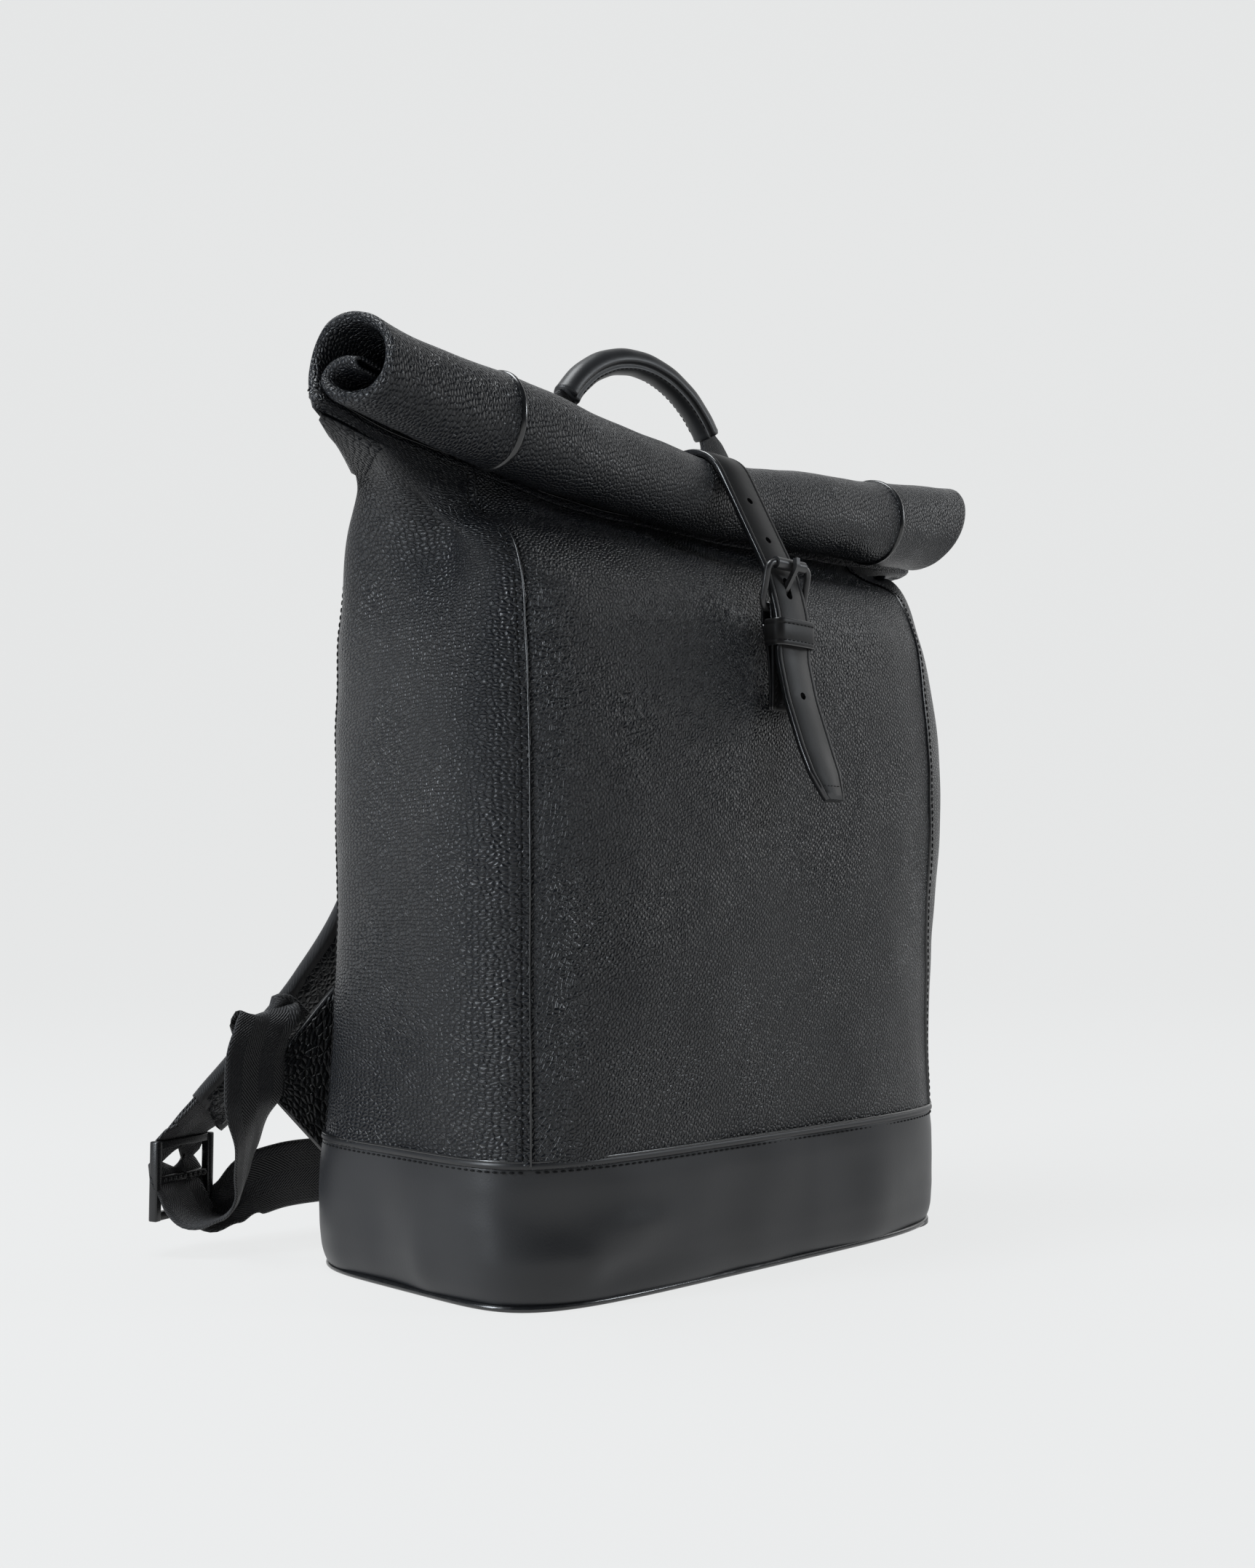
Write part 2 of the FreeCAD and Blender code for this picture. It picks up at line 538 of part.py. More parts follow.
def make_back():
    """Soft pad on the back panel and the leather yoke that holds the shoulder straps and the handle's strap."""
    pad = box(-104, 104, 81.0, 85.6, 70.0, 250.0)
    save("back_pad", pad.makeFillet(2.2, pad.Edges))
    raised = solid_loft(WALL_SECTIONS, -2.0).cut(solid_loft(WALL_SECTIONS, -0.1))
    save("strap_yoke", raised.common(box(-84, 84, 0, 400, 258, WALL_TOP - 1)))


def main():
    os.makedirs("parts", exist_ok=True)
    make_panels()
    make_seam_welts()
    make_base()
    make_inside()
    make_roll()
    make_strap()
    make_chape()
    make_keeper()
    make_buckle()
    make_handle()
    make_harness()
    make_back()


main()
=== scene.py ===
import functools
import math

import bmesh
import bpy
import numpy as np
from mathutils import Matrix, Vector, noise


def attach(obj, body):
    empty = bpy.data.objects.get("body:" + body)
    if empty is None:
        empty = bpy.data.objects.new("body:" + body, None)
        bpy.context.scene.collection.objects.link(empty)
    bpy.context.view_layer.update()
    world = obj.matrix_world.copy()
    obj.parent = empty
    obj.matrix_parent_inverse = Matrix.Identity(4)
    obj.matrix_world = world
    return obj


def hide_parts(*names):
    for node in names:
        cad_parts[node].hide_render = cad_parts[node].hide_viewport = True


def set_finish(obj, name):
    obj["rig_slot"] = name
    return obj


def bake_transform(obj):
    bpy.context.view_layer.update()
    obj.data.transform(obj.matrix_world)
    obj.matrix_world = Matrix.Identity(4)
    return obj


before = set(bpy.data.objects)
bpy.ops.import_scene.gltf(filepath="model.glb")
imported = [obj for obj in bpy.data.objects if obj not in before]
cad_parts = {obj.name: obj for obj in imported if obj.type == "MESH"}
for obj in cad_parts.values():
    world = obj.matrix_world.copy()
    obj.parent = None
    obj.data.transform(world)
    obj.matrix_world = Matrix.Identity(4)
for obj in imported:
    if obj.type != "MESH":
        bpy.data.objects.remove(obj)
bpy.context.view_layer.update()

MM = 0.001
SEAM_X = 137.0          # vertical seams between the front or back panel and the sides
RIM_X = 214.5           # ends of the rolled top
STRAP_X = 3.0           # middle of the closing strap
UP = np.array([0, 0, 1.0])

# cells across the front panel, each half side and the back panel
FRONT, SIDE, BACK = 112, 34, 84


# ---- mesh helpers
def unit(v):
    v = np.asarray(v, float)
    return v / np.maximum(np.linalg.norm(v, axis=-1, keepdims=True), 1e-12)


def add_mesh(name, verts, faces, materials, body="bag", uvs=None, flags=None):
    """A mesh from millimetre vertices; flags gives each face's material index."""
    mesh = bpy.data.meshes.new(name)
    mesh.from_pydata((np.asarray(verts, float) * MM).tolist(), [], faces)
    if uvs is not None:
        layer = mesh.uv_layers.new(name="UVMap")
        layer.data.foreach_set("uv", np.asarray(uvs, np.float32).ravel())
    for m in materials if isinstance(materials, (list, tuple)) else [materials]:
        mesh.materials.append(m)
    if flags is not None:
        mesh.polygons.foreach_set("material_index", np.asarray(flags, np.int32))
    mesh.polygons.foreach_set("use_smooth", [True] * len(mesh.polygons))
    mesh.update()
    obj = link(bpy.data.objects.new(name, mesh))
    if body:
        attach(obj, body)
    return obj


def grid(name, P, materials, body="bag", wrap=False, caps=False, thickness=0.0, flags=None):
    """A sheet, or with wrap a tube, over rows x columns of points. UVs are in metres along the surface."""
    rows, cols = P.shape[:2]
    span = cols if wrap else cols - 1
    faces, uvs, marks = [], [], []
    Q = np.concatenate([P, P[:, :1]], 1) if wrap else P
    u = np.concatenate([[0], np.cumsum(np.linalg.norm(np.diff(Q, axis=1), axis=2).mean(0))]) * MM
    v = np.concatenate([[0], np.cumsum(np.linalg.norm(np.diff(P, axis=0), axis=2).mean(1))]) * MM
    for i in range(rows - 1):
        for j in range(span):
            k = (j + 1) % cols
            faces.append((i * cols + j, i * cols + k, (i + 1) * cols + k, (i + 1) * cols + j))
            uvs += [(u[j], v[i]), (u[j + 1], v[i]), (u[j + 1], v[i + 1]), (u[j], v[i + 1])]
            marks.append(flags[j] if flags is not None else 0)
    if caps:
        for i, turn in ((0, -1), (rows - 1, 1)):
            faces.append(tuple(i * cols + j for j in range(cols))[::turn])
            uvs += [(u[j], v[i]) for j in range(cols)][::turn]
            marks.append(1 if flags is not None else 0)
    obj = add_mesh(name, P.reshape(-1, 3), faces, materials, body, uvs, marks)
    if thickness:
        solid = obj.modifiers.new("thickness", "SOLIDIFY")
        solid.thickness, solid.offset = thickness * MM, -1
    return obj


def smooth_curve(points, step):
    """Points on a centripetal Catmull-Rom curve through points, about step apart."""
    def between(p, q, start, end):
        return (end - t) / (end - start) * p + (t - start) / (end - start) * q

    P = np.asarray(points, float)
    P = np.concatenate([[2 * P[0] - P[1]], P, [2 * P[-1] - P[-2]]])
    out = []
    for a, b, c, d in zip(P, P[1:], P[2:], P[3:]):
        t1, t2, t3 = np.cumsum([max(np.linalg.norm(q - p), 1e-6) ** 0.5 for p, q in ((a, b), (b, c), (c, d))])
        t = np.linspace(t1, t2, max(2, int(np.linalg.norm(c - b) / step * 3)), endpoint=False)[:, None]
        one, two, three = between(a, b, 0, t1), between(b, c, t1, t2), between(c, d, t2, t3)
        out.append(between(between(one, two, 0, t2), between(two, three, t1, t3), t1, t2))
    return resample(np.concatenate(out + [P[-2:-1]]), step)


def resample(P, step=None, count=None):
    """P at even distances along its length."""
    P = np.asarray(P, float)
    s = np.concatenate([[0], np.cumsum(np.linalg.norm(np.diff(P[:, :3], axis=0), axis=1))])
    n = count if count is not None else max(2, int(round(s[-1] / step)) + 1)
    t = np.linspace(0, s[-1], n)
    return np.stack([np.interp(t, s, P[:, k]) for k in range(P.shape[1])], 1)


def tangents(C):
    return unit(np.gradient(C, axis=0))


def smoothed(P, passes):
    for _ in range(passes):
        P[1:-1] = (P[:-2] + 2 * P[1:-1] + P[2:]) / 4
    return P


def ribs(lines, across, up, profile):
    """A profile of (across, up) offsets set at every point of a line."""
    prof = np.asarray(profile, float)
    return lines[:, None] + across[:, None] * prof[None, :, :1] + up[:, None] * prof[None, :, 1:]


def made_of(obj, slot, *cad):
    """Names the material slot of a piece and hides the CAD nodes that it stands for."""
    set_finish(obj, slot)
    if cad:
        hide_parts(*cad)
    return obj


def link(obj):
    bpy.context.collection.objects.link(obj)
    return obj


def evaluated_mesh(obj):
    """The mesh that the object's modifiers make."""
    return bpy.data.meshes.new_from_object(obj.evaluated_get(bpy.context.evaluated_depsgraph_get()))


def tube(name, P, materials, body="bag", caps=True, flags=None):
    """A closed grid with its faces outwards."""
    obj = grid(name, P, materials, body, wrap=True, caps=caps, flags=flags)
    bm = bmesh.new()
    bm.from_mesh(obj.data)
    bmesh.ops.recalc_face_normals(bm, faces=bm.faces)
    bm.to_mesh(obj.data)
    bm.free()
    return obj


def strap_profile(w, t, grooves=True):
    """A flat strap of half width w and half thickness t, with rounded painted edges: its (across, up) offsets, and
    a 1 for each face that is edge."""
    rim = [(0.5, 0.92), (1.4, 1)] + ([(2.1, 1), (2.5, 0.8), (2.9, 1)] if grooves else [])
    under = [(0.12, 0.6), (0, 0), (0.12, -0.6), (0.5, -0.95)]
    profile = [(d - w, h * t) for d, h in rim] + [(0, t * 1.02)] + [(w - d, h * t) for d, h in rim[::-1] + under]
    profile = (profile + [(0, -t)] + [(d - w, h * t) for d, h in under[::-1]])[::-1]
    ahead = profile[1:] + profile[:1]
    return profile, [1 if min(abs(a[0]), abs(b[0])) > w - 0.6 else 0 for a, b in zip(profile, ahead)]


# (along, radius) of one thread, as shares of half its length and of its radius
CAPSULE = [(-1, 0), (-0.8, 0.62), (-0.3, 1), (0.3, 1), (0.8, 0.62), (1, 0)]


def stitches(name, line, normals, body="bag", pitch=3.2, length=2.3, radius=0.36, sink=0.05):
    """A row of short six-sided threads along a line on a surface."""
    line, normals = np.asarray(line, float), unit(normals)
    both = resample(np.concatenate([line, normals], 1), pitch)
    P, N = both[:, :3], unit(both[:, 3:])
    T = tangents(P)
    verts, faces = [], []
    for p, n, t in zip(P[1:-1], N[1:-1], T[1:-1]):
        side = unit(np.cross(t, n))
        up = np.cross(side, t)
        base, last = len(verts), len(verts) + (len(CAPSULE) - 1) * 6
        for a, r in CAPSULE:
            middle = p + n * (radius * 0.6 - sink) + t * (a * length / 2)
            for q in [k * math.pi / 3 for k in range(6)]:
                verts.append(middle + (side * math.cos(q) + up * math.sin(q)) * max(r, 0.05) * radius)
        for i in range(base, last, 6):
            faces += [(i + k, i + (k + 1) % 6, i + 6 + (k + 1) % 6, i + 6 + k) for k in range(6)]
        faces.append(tuple(base + k for k in range(5, -1, -1)))
        faces.append(tuple(last + k for k in range(6)))
    return made_of(add_mesh(name, verts, faces, THREAD, body), "edge_paint")


# ---- materials
class Look:
    """A material, built node by node round its shader."""

    def __init__(self, name):
        self.mat = bpy.data.materials.new(name)
        self.mat.use_nodes = True
        self.nodes, self.links = self.mat.node_tree.nodes, self.mat.node_tree.links

    @functools.cached_property
    def coords(self):
        return self.add("TexCoord")

    def fill(self, made, inputs):
        """Sets each input to its value, or links it where the value is a socket."""
        for key, value in inputs.items():
            if isinstance(value, bpy.types.NodeSocket):
                self.links.new(value, made.inputs[key])
            else:
                made.inputs[key].default_value = value

    def add(self, kind, inputs=(), **settings):
        made = self.nodes.new("ShaderNode" + kind)
        for key, value in settings.items():
            setattr(made, key, value)
        self.fill(made, dict(inputs))
        return made.outputs

    def noise(self, scale, detail=2):
        return self.add("TexNoise", {0: self.coords["Object"], "Scale": scale, "Detail": detail})[0]

    def math(self, operation, *values):
        return self.add("Math", enumerate(values), operation=operation)[0]

    def remap(self, value, low, high, to_low=0, to_high=1, smooth=False):
        return self.add("MapRange", {0: value, 1: low, 2: high, 3: to_low, 4: to_high},
                        interpolation_type="SMOOTHSTEP" if smooth else "LINEAR")[0]

    def mix(self, factor, a, b):
        return self.add("Mix", {0: factor, 6: (*a, 1), 7: (*b, 1)}, data_type="RGBA")[2]

    def bump(self, height, distance, strength=1.0, **under):
        return self.add("Bump", {"Height": height, "Distance": distance, "Strength": strength, **under})[0]

    def shade(self, **inputs):
        """The finished material; an underscore stands for a space in the name of a shader input."""
        self.fill(self.nodes["Principled BSDF"], {key.replace("_", " "): value for key, value in inputs.items()})
        return self.mat


def times(colour, share):
    return tuple(c * share for c in colour)


def grain_leather(name, cell, tilt=0.0, stretch=1.0, light=(0.0060, 0.0072, 0.0098), depth=0.3, rough=0.34,
                  flat=True):
    """Pebbled leather: soft cells with creases between them, drawn out along the tilt.
    It lies on the UVs, in metres, or where not flat in space."""
    look = Look(name)
    turned = look.add("Mapping", {0: look.coords["UV" if flat else "Object"], "Rotation": (0, 0, tilt)})[0]
    drawn = look.add("Mapping", {0: turned, "Scale": (1 / stretch, stretch, 1)})[0]
    warp = look.add("TexNoise", {0: drawn, "Scale": 0.30 / cell, "Detail": 2})["Color"]
    centred = look.add("VectorMath", {0: warp, 1: (0.5, 0.5, 0.5)}, operation="SUBTRACT")[0]
    scaled = look.add("VectorMath", {0: centred, "Scale": cell * 0.9}, operation="SCALE")[0]
    moved = look.add("VectorMath", {0: drawn, 1: scaled}, operation="ADD")[0]

    def edge_distance(scale, randomness):
        return look.add("TexVoronoi", {"Vector": moved, "Scale": scale, "Randomness": randomness},
                        voronoi_dimensions="2D" if flat else "3D", feature="DISTANCE_TO_EDGE")["Distance"]

    cells = edge_distance(1 / cell, 0.8)
    crease = look.remap(cells, 0, 0.17, smooth=True)
    dome = look.remap(cells, 0, 0.55, smooth=True)
    fine = look.remap(edge_distance(2.4 / cell, 1.0), 0, 0.25, smooth=True)
    patches = look.noise(28, 3)
    share = look.remap(patches, 0.35, 0.65, 0.06, 0.2, smooth=True)
    pebble = look.math("MULTIPLY_ADD", dome, 0.9, crease)
    height = look.math("MULTIPLY_ADD", fine, share, pebble)
    pores = look.bump(look.noise(2600), 0.00003, 0.6)
    worn = look.remap(patches, 0.3, 0.7, rough - 0.04, rough + 0.05)
    hollow = look.remap(crease, 0, 1, 0.14, 0)
    # Base colour: the creases are painted darker than the pebbles, painted shade in the creases.
    return look.shade(Normal=look.bump(height, depth * cell * 0.6, 1.0, Normal=pores),
                      Base_Color=look.mix(crease, (0.0024, 0.0030, 0.0044), light),
                      Roughness=look.math("ADD", worn, hollow), Specular_IOR_Level=0.42)


def smooth_leather(name, colour=(0.016, 0.0165, 0.018), rough=0.42, grain=900, depth=0.00004, specular=0.45):
    look = Look(name)
    pores, clouds = look.noise(grain, 4), look.noise(24, 4)
    tone = look.remap(clouds, 0.3, 0.7)
    return look.shade(Normal=look.bump(pores, depth, 0.8), Base_Color=look.mix(tone, times(colour, 0.72), colour),
                      Roughness=look.remap(clouds, 0.3, 0.7, rough - 0.05, rough + 0.06),
                      Specular_IOR_Level=specular)


def plain_material(name, colour, rough, bump_scale, bump_depth, specular=0.5):
    look = Look(name)
    speck = look.noise(bump_scale, 3)
    worn = look.remap(speck, 0.3, 0.7, rough - 0.04, rough + 0.05)
    tone = look.remap(speck, 0.3, 0.7)
    return look.shade(Normal=look.bump(speck, bump_depth, 0.7), Roughness=worn,
                      Base_Color=look.mix(tone, times(colour, 0.8), colour), Specular_IOR_Level=specular)


def woven(name, colour, pitch, chevron=0.0075, depth=0.00022):
    """Herringbone webbing on UVs in metres: diagonal ribs that change side every chevron width."""
    look = Look(name)
    u, v, _ = look.add("SeparateXYZ", {0: look.coords["UV"]})
    fold = look.math("PINGPONG", u, chevron)
    diagonal = look.math("ADD", look.math("MULTIPLY", fold, 1.3), v)
    rib = look.math("SINE", look.math("MULTIPLY", diagonal, 2 * math.pi / pitch))
    warp = look.math("SINE", look.math("MULTIPLY", u, 2 * math.pi / (pitch * 0.8)))
    weave = look.math("MULTIPLY_ADD", warp, 0.35, rib)
    height = look.remap(weave, -1.35, 1.35, smooth=True)
    # Base colour: the low parts of the weave are painted darker, painted shade in its hollows.
    return look.shade(Normal=look.bump(height, depth, 0.9), Base_Color=look.mix(height, times(colour, 0.35), colour),
                      Roughness=0.55, Sheen_Weight=0.12, Sheen_Roughness=0.4, Specular_IOR_Level=0.45)


def air_mesh(name, colour=(0.012, 0.012, 0.0135), cell=0.0022):
    """Spacer mesh: round holes in a regular knit."""
    look = Look(name)
    holes = look.add("TexVoronoi", {"Vector": look.coords["Object"], "Scale": 1 / cell, "Randomness": 0.15})
    height = look.remap(holes["Distance"], 0.22, 0.5, smooth=True)
    # Base colour: the holes are painted darker, painted shade in the holes.
    return look.shade(Normal=look.bump(height, 0.0006, 0.9), Base_Color=look.mix(height, times(colour, 0.2), colour),
                      Roughness=0.75, Sheen_Weight=0.15)


GRAIN_FRONT = grain_leather("leather_grain_front", 0.0018, math.radians(-52), 1.14, rough=0.29, depth=0.36)
GRAIN_SIDE = grain_leather("leather_grain_side", 0.0021, stretch=1.36, rough=0.31, depth=0.28)
GRAIN_ROLL = grain_leather("leather_grain_roll", 0.0019, math.radians(70), 1.2, rough=0.32, depth=0.28)
# The tab's pebbles are lighter than the bag's: painted light on a lighter copy of the same leather, lifting the
# shaded tab.
GRAIN_TAB = grain_leather("leather_grain_tab", 0.0034, rough=0.33, depth=0.42, light=(0.0110, 0.0122, 0.0142))
GRAIN_PAD = grain_leather("leather_grain_pad", 0.0026, rough=0.33, flat=False)
SMOOTH = smooth_leather("leather_smooth")
STRAP_LEATHER = smooth_leather("leather_strap", (0.0060, 0.0058, 0.0060), 0.5, 700, 0.00005, specular=0.3)
BASE_LEATHER = smooth_leather("leather_base", (0.017, 0.018, 0.0205), 0.40, 1100, 0.00005)
EDGE = plain_material("painted_edge", (0.008, 0.0085, 0.0095), 0.22, 300, 0.00005, specular=0.75)
THREAD = plain_material("thread", (0.0028, 0.0028, 0.0032), 0.7, 3000, 0.0001, specular=0.22)
METAL = plain_material("black_metal", (0.018, 0.018, 0.019), 0.33, 900, 0.00002, specular=0.6)
PLASTIC = plain_material("black_plastic", (0.010, 0.010, 0.011), 0.28, 1500, 0.00002)
WEBBING = woven("webbing", (0.015, 0.015, 0.017), pitch=0.0016, depth=0.00042)
BINDING = woven("binding", (0.014, 0.014, 0.016), pitch=0.0008, chevron=0.2)
MESH = air_mesh("air_mesh")
LINING = plain_material("lining_cloth", (0.03, 0.03, 0.033), 0.8, 1200, 0.0001)
FOAM = plain_material("foam", (0.05, 0.05, 0.05), 0.9, 900, 0.0003)
BOARD = plain_material("fibre_board", (0.03, 0.028, 0.026), 0.8, 700, 0.0001)


# ---- the bag's surface
ARC_POINTS = 400        # on a stretch, before it is divided evenly


def closed_section(left, right, front, back, corners, heights, right_seam=SEAM_X):
    """Superellipse quarters of exponents (front left, front right, back), cut at the seams and the middles of the
    sides, with a fixed number of points on each stretch."""
    yc, b = (front + back) / 2, (back - front) / 2

    def quarter(sx, sy, hw, n, ends):
        seam = right_seam if sx > 0 and sy < 0 else SEAM_X
        cut = math.acos((seam / hw) ** (n / 2))
        angles = {"side": 0, "seam": cut, "middle": math.pi / 2}
        t = np.linspace(*[angles[end] for end in ends], ARC_POINTS)
        x = sx * hw * np.cos(t) ** (2 / n)
        y = yc + sy * b * np.sin(t) ** (2 / n)
        return np.stack([x, y], 1)

    fl, fr, bk = corners
    front_left, front_right = (-1, -1, left, fl), (1, -1, right, fr)
    back_left, back_right = (-1, 1, left, bk), (1, 1, right, bk)

    def panel(start, end):
        return np.concatenate([quarter(*start, ("seam", "middle")), quarter(*end, ("middle", "seam"))[1:]])

    stretches = [(panel(front_left, front_right), FRONT), (quarter(*front_right, ("seam", "side")), SIDE),
                 (quarter(*back_right, ("side", "seam")), SIDE), (panel(back_right, back_left), BACK),
                 (quarter(*back_left, ("seam", "side")), SIDE), (quarter(*front_left, ("side", "seam")), SIDE)]
    P = np.concatenate([resample(p, count=n + 1)[:-1] for p, n in stretches])
    return np.concatenate([P, heights(P[:, 0], P[:, 1])[:, None]], 1)


def level(z):
    return lambda x, y: np.full(len(x), float(z))


# the roll along its length: how far it sinks, how much larger and how much further back it is than at its left end
ROLL_X = [-214, -182, -137, -104, -60, -13, 30, 85, 137, 165, 214]
ROLL_DROP = [5.5, -2.5, -7, -10, -11.8, -12, -10, -5, -1.4, 1.2, 6.5]
ROLL_SIZE = [1.0, 1.0, 1.03, 1.05, 1.0, 0.95, 0.98, 1.08, 1.16, 1.2, 1.26]
ROLL_SHIFT = [0, 0, 0, 2, 7, 13, 15.5, 18, 20, 21, 22]
ROLL_CENTRE = np.array([-47.0, 354.0])


def along_roll(values, x):
    grid_x = np.linspace(-230, 230, 231)
    v = np.interp(grid_x, ROLL_X, values)
    kernel = np.hanning(21) / np.hanning(21).sum()
    v = np.convolve(np.pad(v, 10, mode="edge"), kernel, mode="valid")
    return np.interp(x, grid_x, v)


def flat_section(centre, normal, left_end, right_end, middle=1.5, rim=2.7, tip=3.6):
    """The flattened tube, as the same stretches: front layer, right end, back layer, left end."""
    q = np.linspace(SEAM_X, RIM_X - tip, 60)
    w = np.clip((q - SEAM_X) / (RIM_X - tip - SEAM_X), 0, 1)
    h = middle + (rim - middle) * w ** 1.6
    phi = np.linspace(0, math.pi / 2, 30)[1:]
    q = np.concatenate([q, RIM_X - tip + tip * np.sin(phi)])
    h = np.concatenate([h, rim * np.cos(phi)])
    half = resample(np.stack([q, h], 1), count=SIDE + 1)
    front = np.stack([np.linspace(-SEAM_X, SEAM_X, FRONT + 1), np.full(FRONT + 1, middle)], 1)
    back = np.stack([np.linspace(SEAM_X, -SEAM_X, BACK + 1), np.full(BACK + 1, -middle)], 1)
    stretches = [front, half, (half * [1, -1])[::-1], back, half * [-1, -1], (half * [-1, 1])[::-1]]
    P = np.concatenate([stretch[:-1] for stretch in stretches])
    x = P[:, 0]
    h = P[:, 1] + np.interp(np.abs(x), [SEAM_X, RIM_X], [middle, rim])
    beyond = np.maximum(np.abs(x) - SEAM_X, 0) / (RIM_X - SEAM_X)
    end = np.where(x < 0, left_end, right_end)
    x = np.where(x < 0, -1, 1) * (np.minimum(np.abs(x), SEAM_X) + beyond * (end - SEAM_X))
    yz = centre[None] - ROLL_CENTRE
    yz = ROLL_CENTRE + yz * along_roll(ROLL_SIZE, x)[:, None] + normal[None] * h[:, None]
    return np.stack([x, yz[:, 0] + along_roll(ROLL_SHIFT, x), yz[:, 1] + along_roll(ROLL_DROP, x)], 1)


# outer face of the winding in the (y, z) plane at the left end, with where its left and right ends are
ROLL_PATH = [(-33, 335.5, 214.5, 194), (-29.3, 343, 214, 202), (-27.5, 352, 213, 208), (-29.5, 362, 212, 210),
             (-36.5, 369.8, 211, 210), (-47, 373, 208, 208), (-57.5, 370.3, 205, 205), (-64.5, 363, 203, 200),
             (-66.6, 354, 203, 195), (-64.4, 344.8, 204, 189), (-57.5, 338, 206, 184), (-47.5, 336.3, 209, 182),
             (-39, 339.5, 212, 183), (-35.4, 346, 213, 184), (-38.5, 352.3, 212, 186), (-47, 354.6, 211, 188),
             (-55.5, 353, 210, 188)]

# rows below the shoulders: height, half widths on the left and right, front, back, corner exponents, right front seam
BODY = [(54, 149.3, 149.3, -82.4, 80.5, (6.4, 4.05, 4.2), 124), (90, 150, 150, -83, 80, (5.85, 3.95, 3.6), 120),
        (130, 150.5, 150.5, -84, 81, (5.4, 4.0, 3.3), 116), (180, 151.5, 151.5, -84, 81, (5.2, 4.6, 3.25), 114),
        (226, 151, 151, -82.5, 80, (5.4, 5.2, 3.5), 114), (260, 149, 149, -79.5, 77.5, (5.9, 5.4, 3.9), 115),
        (284, 147.5, 147, -75, 72, (6.6, 5.1, 4.2), 117)]
# rows of cells from each of those rows, the shoulder, the gather and the first rows of the roll to the next
BODY_STEPS = [15, 16, 20, 18, 14, 10, 10, 10, 12]


def bag_surface():
    def rise(x, y, left, right, power, reach, middle):
        """Height that the ends of a row gain; on the left the front part of it stays low, below the ridge."""
        w = np.clip((y - left[2]) / (left[3] - left[2]), 0, 1)
        gain = np.where(x < 0, left[0] + (left[1] - left[0]) * w * w * (3 - 2 * w), right)
        return middle + gain * np.clip(np.abs(x) / reach, 0, 1.1) ** power

    shoulder = closed_section(157, 151, -62, 56, (5.6, 4.2, 3.3),
                              lambda x, y: rise(x, y, (-3, 13, -38, 6), 22, 6.5, 154, 304), 122)
    gather = closed_section(176, 171, -48, 22, (2.8, 2.6, 2.4),
                            lambda x, y: rise(x, y, (2, 15, -44, -12), 17, 2.2, 174, 314), 130)
    gather[:, 1] += 0.6 * along_roll(ROLL_SHIFT, gather[:, 0])
    keys = [closed_section(*row[1:6], level(row[0]), row[6]) for row in BODY] + [shoulder, gather]
    path = smooth_curve(ROLL_PATH, 2.3)
    ahead = tangents(path[:, :2])
    inner = np.stack([-ahead[:, 1], ahead[:, 0]], 1)
    rolled = [flat_section(c[:2], n, c[2], c[3]) for c, n in zip(path, inner)]
    keys += [rolled[0], rolled[6], rolled[12]]
    rows = []
    for i, count in enumerate(BODY_STEPS):
        a, b, c, d = keys[max(i - 1, 0)], keys[i], keys[i + 1], keys[i + 2]
        for t in np.linspace(0, 1, count, endpoint=False):
            rows.append(0.5 * (2 * b + (c - a) * t + (2 * a - 5 * b + 4 * c - d) * t ** 2
                               + (3 * b - a - 3 * c + d) * t ** 3))
    neck = len(rows)
    return np.array(rows + rolled), neck


def surface_normals(P):
    du = np.roll(P, -1, 1) - np.roll(P, 1, 1)
    dv = np.gradient(P, axis=0)
    return unit(np.cross(du, dv))


def dented(P, dents):
    """P with smooth hollows (negative) and swellings."""
    d = sum(depth * np.exp(-(((P - centre) / radii) ** 2).sum(2)) for centre, radii, depth in dents)
    return P + surface_normals(P) * d[..., None]


def undulated(P, amount, wavelength, seed):
    d = [noise.noise(Vector(p)) for p in P.reshape(-1, 3) / wavelength + seed]
    return P + surface_normals(P) * (np.array(d) * amount).reshape(*P.shape[:2], 1)


# (centre, radii, depth) of each hollow or swelling
BAG_DENTS = [((-153, -28, 302), (30, 17, 15), -15), ((-170, -54, 312), (26, 14, 14), 8),
             ((-154, -66, 296), (18, 14, 15), 4.5), ((-152, 36, 296), (24, 16, 24), 2.0),
             ((-150, 34, 262), (20, 26, 40), -1.5), ((-60, -84, 120), (70, 20, 60), 1.2),
             ((40, -84, 90), (60, 20, 40), -1.2), ((3, -84, 262), (40, 20, 30), -1.5),
             ((90, -80, 210), (40, 20, 70), 1.4), ((-100, -84, 230), (30, 20, 60), -1.6),
             ((150, 0, 150), (20, 50, 60), 2.0), ((-150, -40, 120), (20, 30, 60), 1.5)]
S, NECK = bag_surface()     # NECK is the first row of the roll
S = undulated(undulated(dented(S, BAG_DENTS), 1.5, 55, 3.1), 0.5, 21, 8.7)
N = surface_normals(S)

COL = np.cumsum([0, FRONT, SIDE, SIDE, BACK, SIDE, SIDE])   # columns of the six stretches
END, AROUND = S.shape[:2]


def lay_panel(name, rows, first, last, material, thickness, cad):
    columns = [c % AROUND for c in range(first, last + 1)]
    made_of(grid(name, S[rows][:, columns], material, thickness=thickness), "grain_leather", cad)


SPANS = {"front": (COL[0], COL[1]), "right": (COL[1], COL[3]), "back": (COL[3], COL[4]), "left": (COL[4], COL[6])}
for side, kind in (("front", "panel"), ("right", "side"), ("back", "panel"), ("left", "side")):
    grain = GRAIN_FRONT if side == "front" else GRAIN_SIDE
    cad = f"{side}_side_panel" if kind == "side" else f"{side}_panel"
    lay_panel(f"{side}_{kind}_leather", slice(0, NECK + 1), *SPANS[side], grain, 1.6, cad)
for side, layer in (("front", "front"), ("right", "front"), ("back", "back"), ("left", "back")):
    lay_panel(f"collar_{side}_leather", slice(NECK, None), *SPANS[side], GRAIN_ROLL, 1.1, f"collar_{layer}")

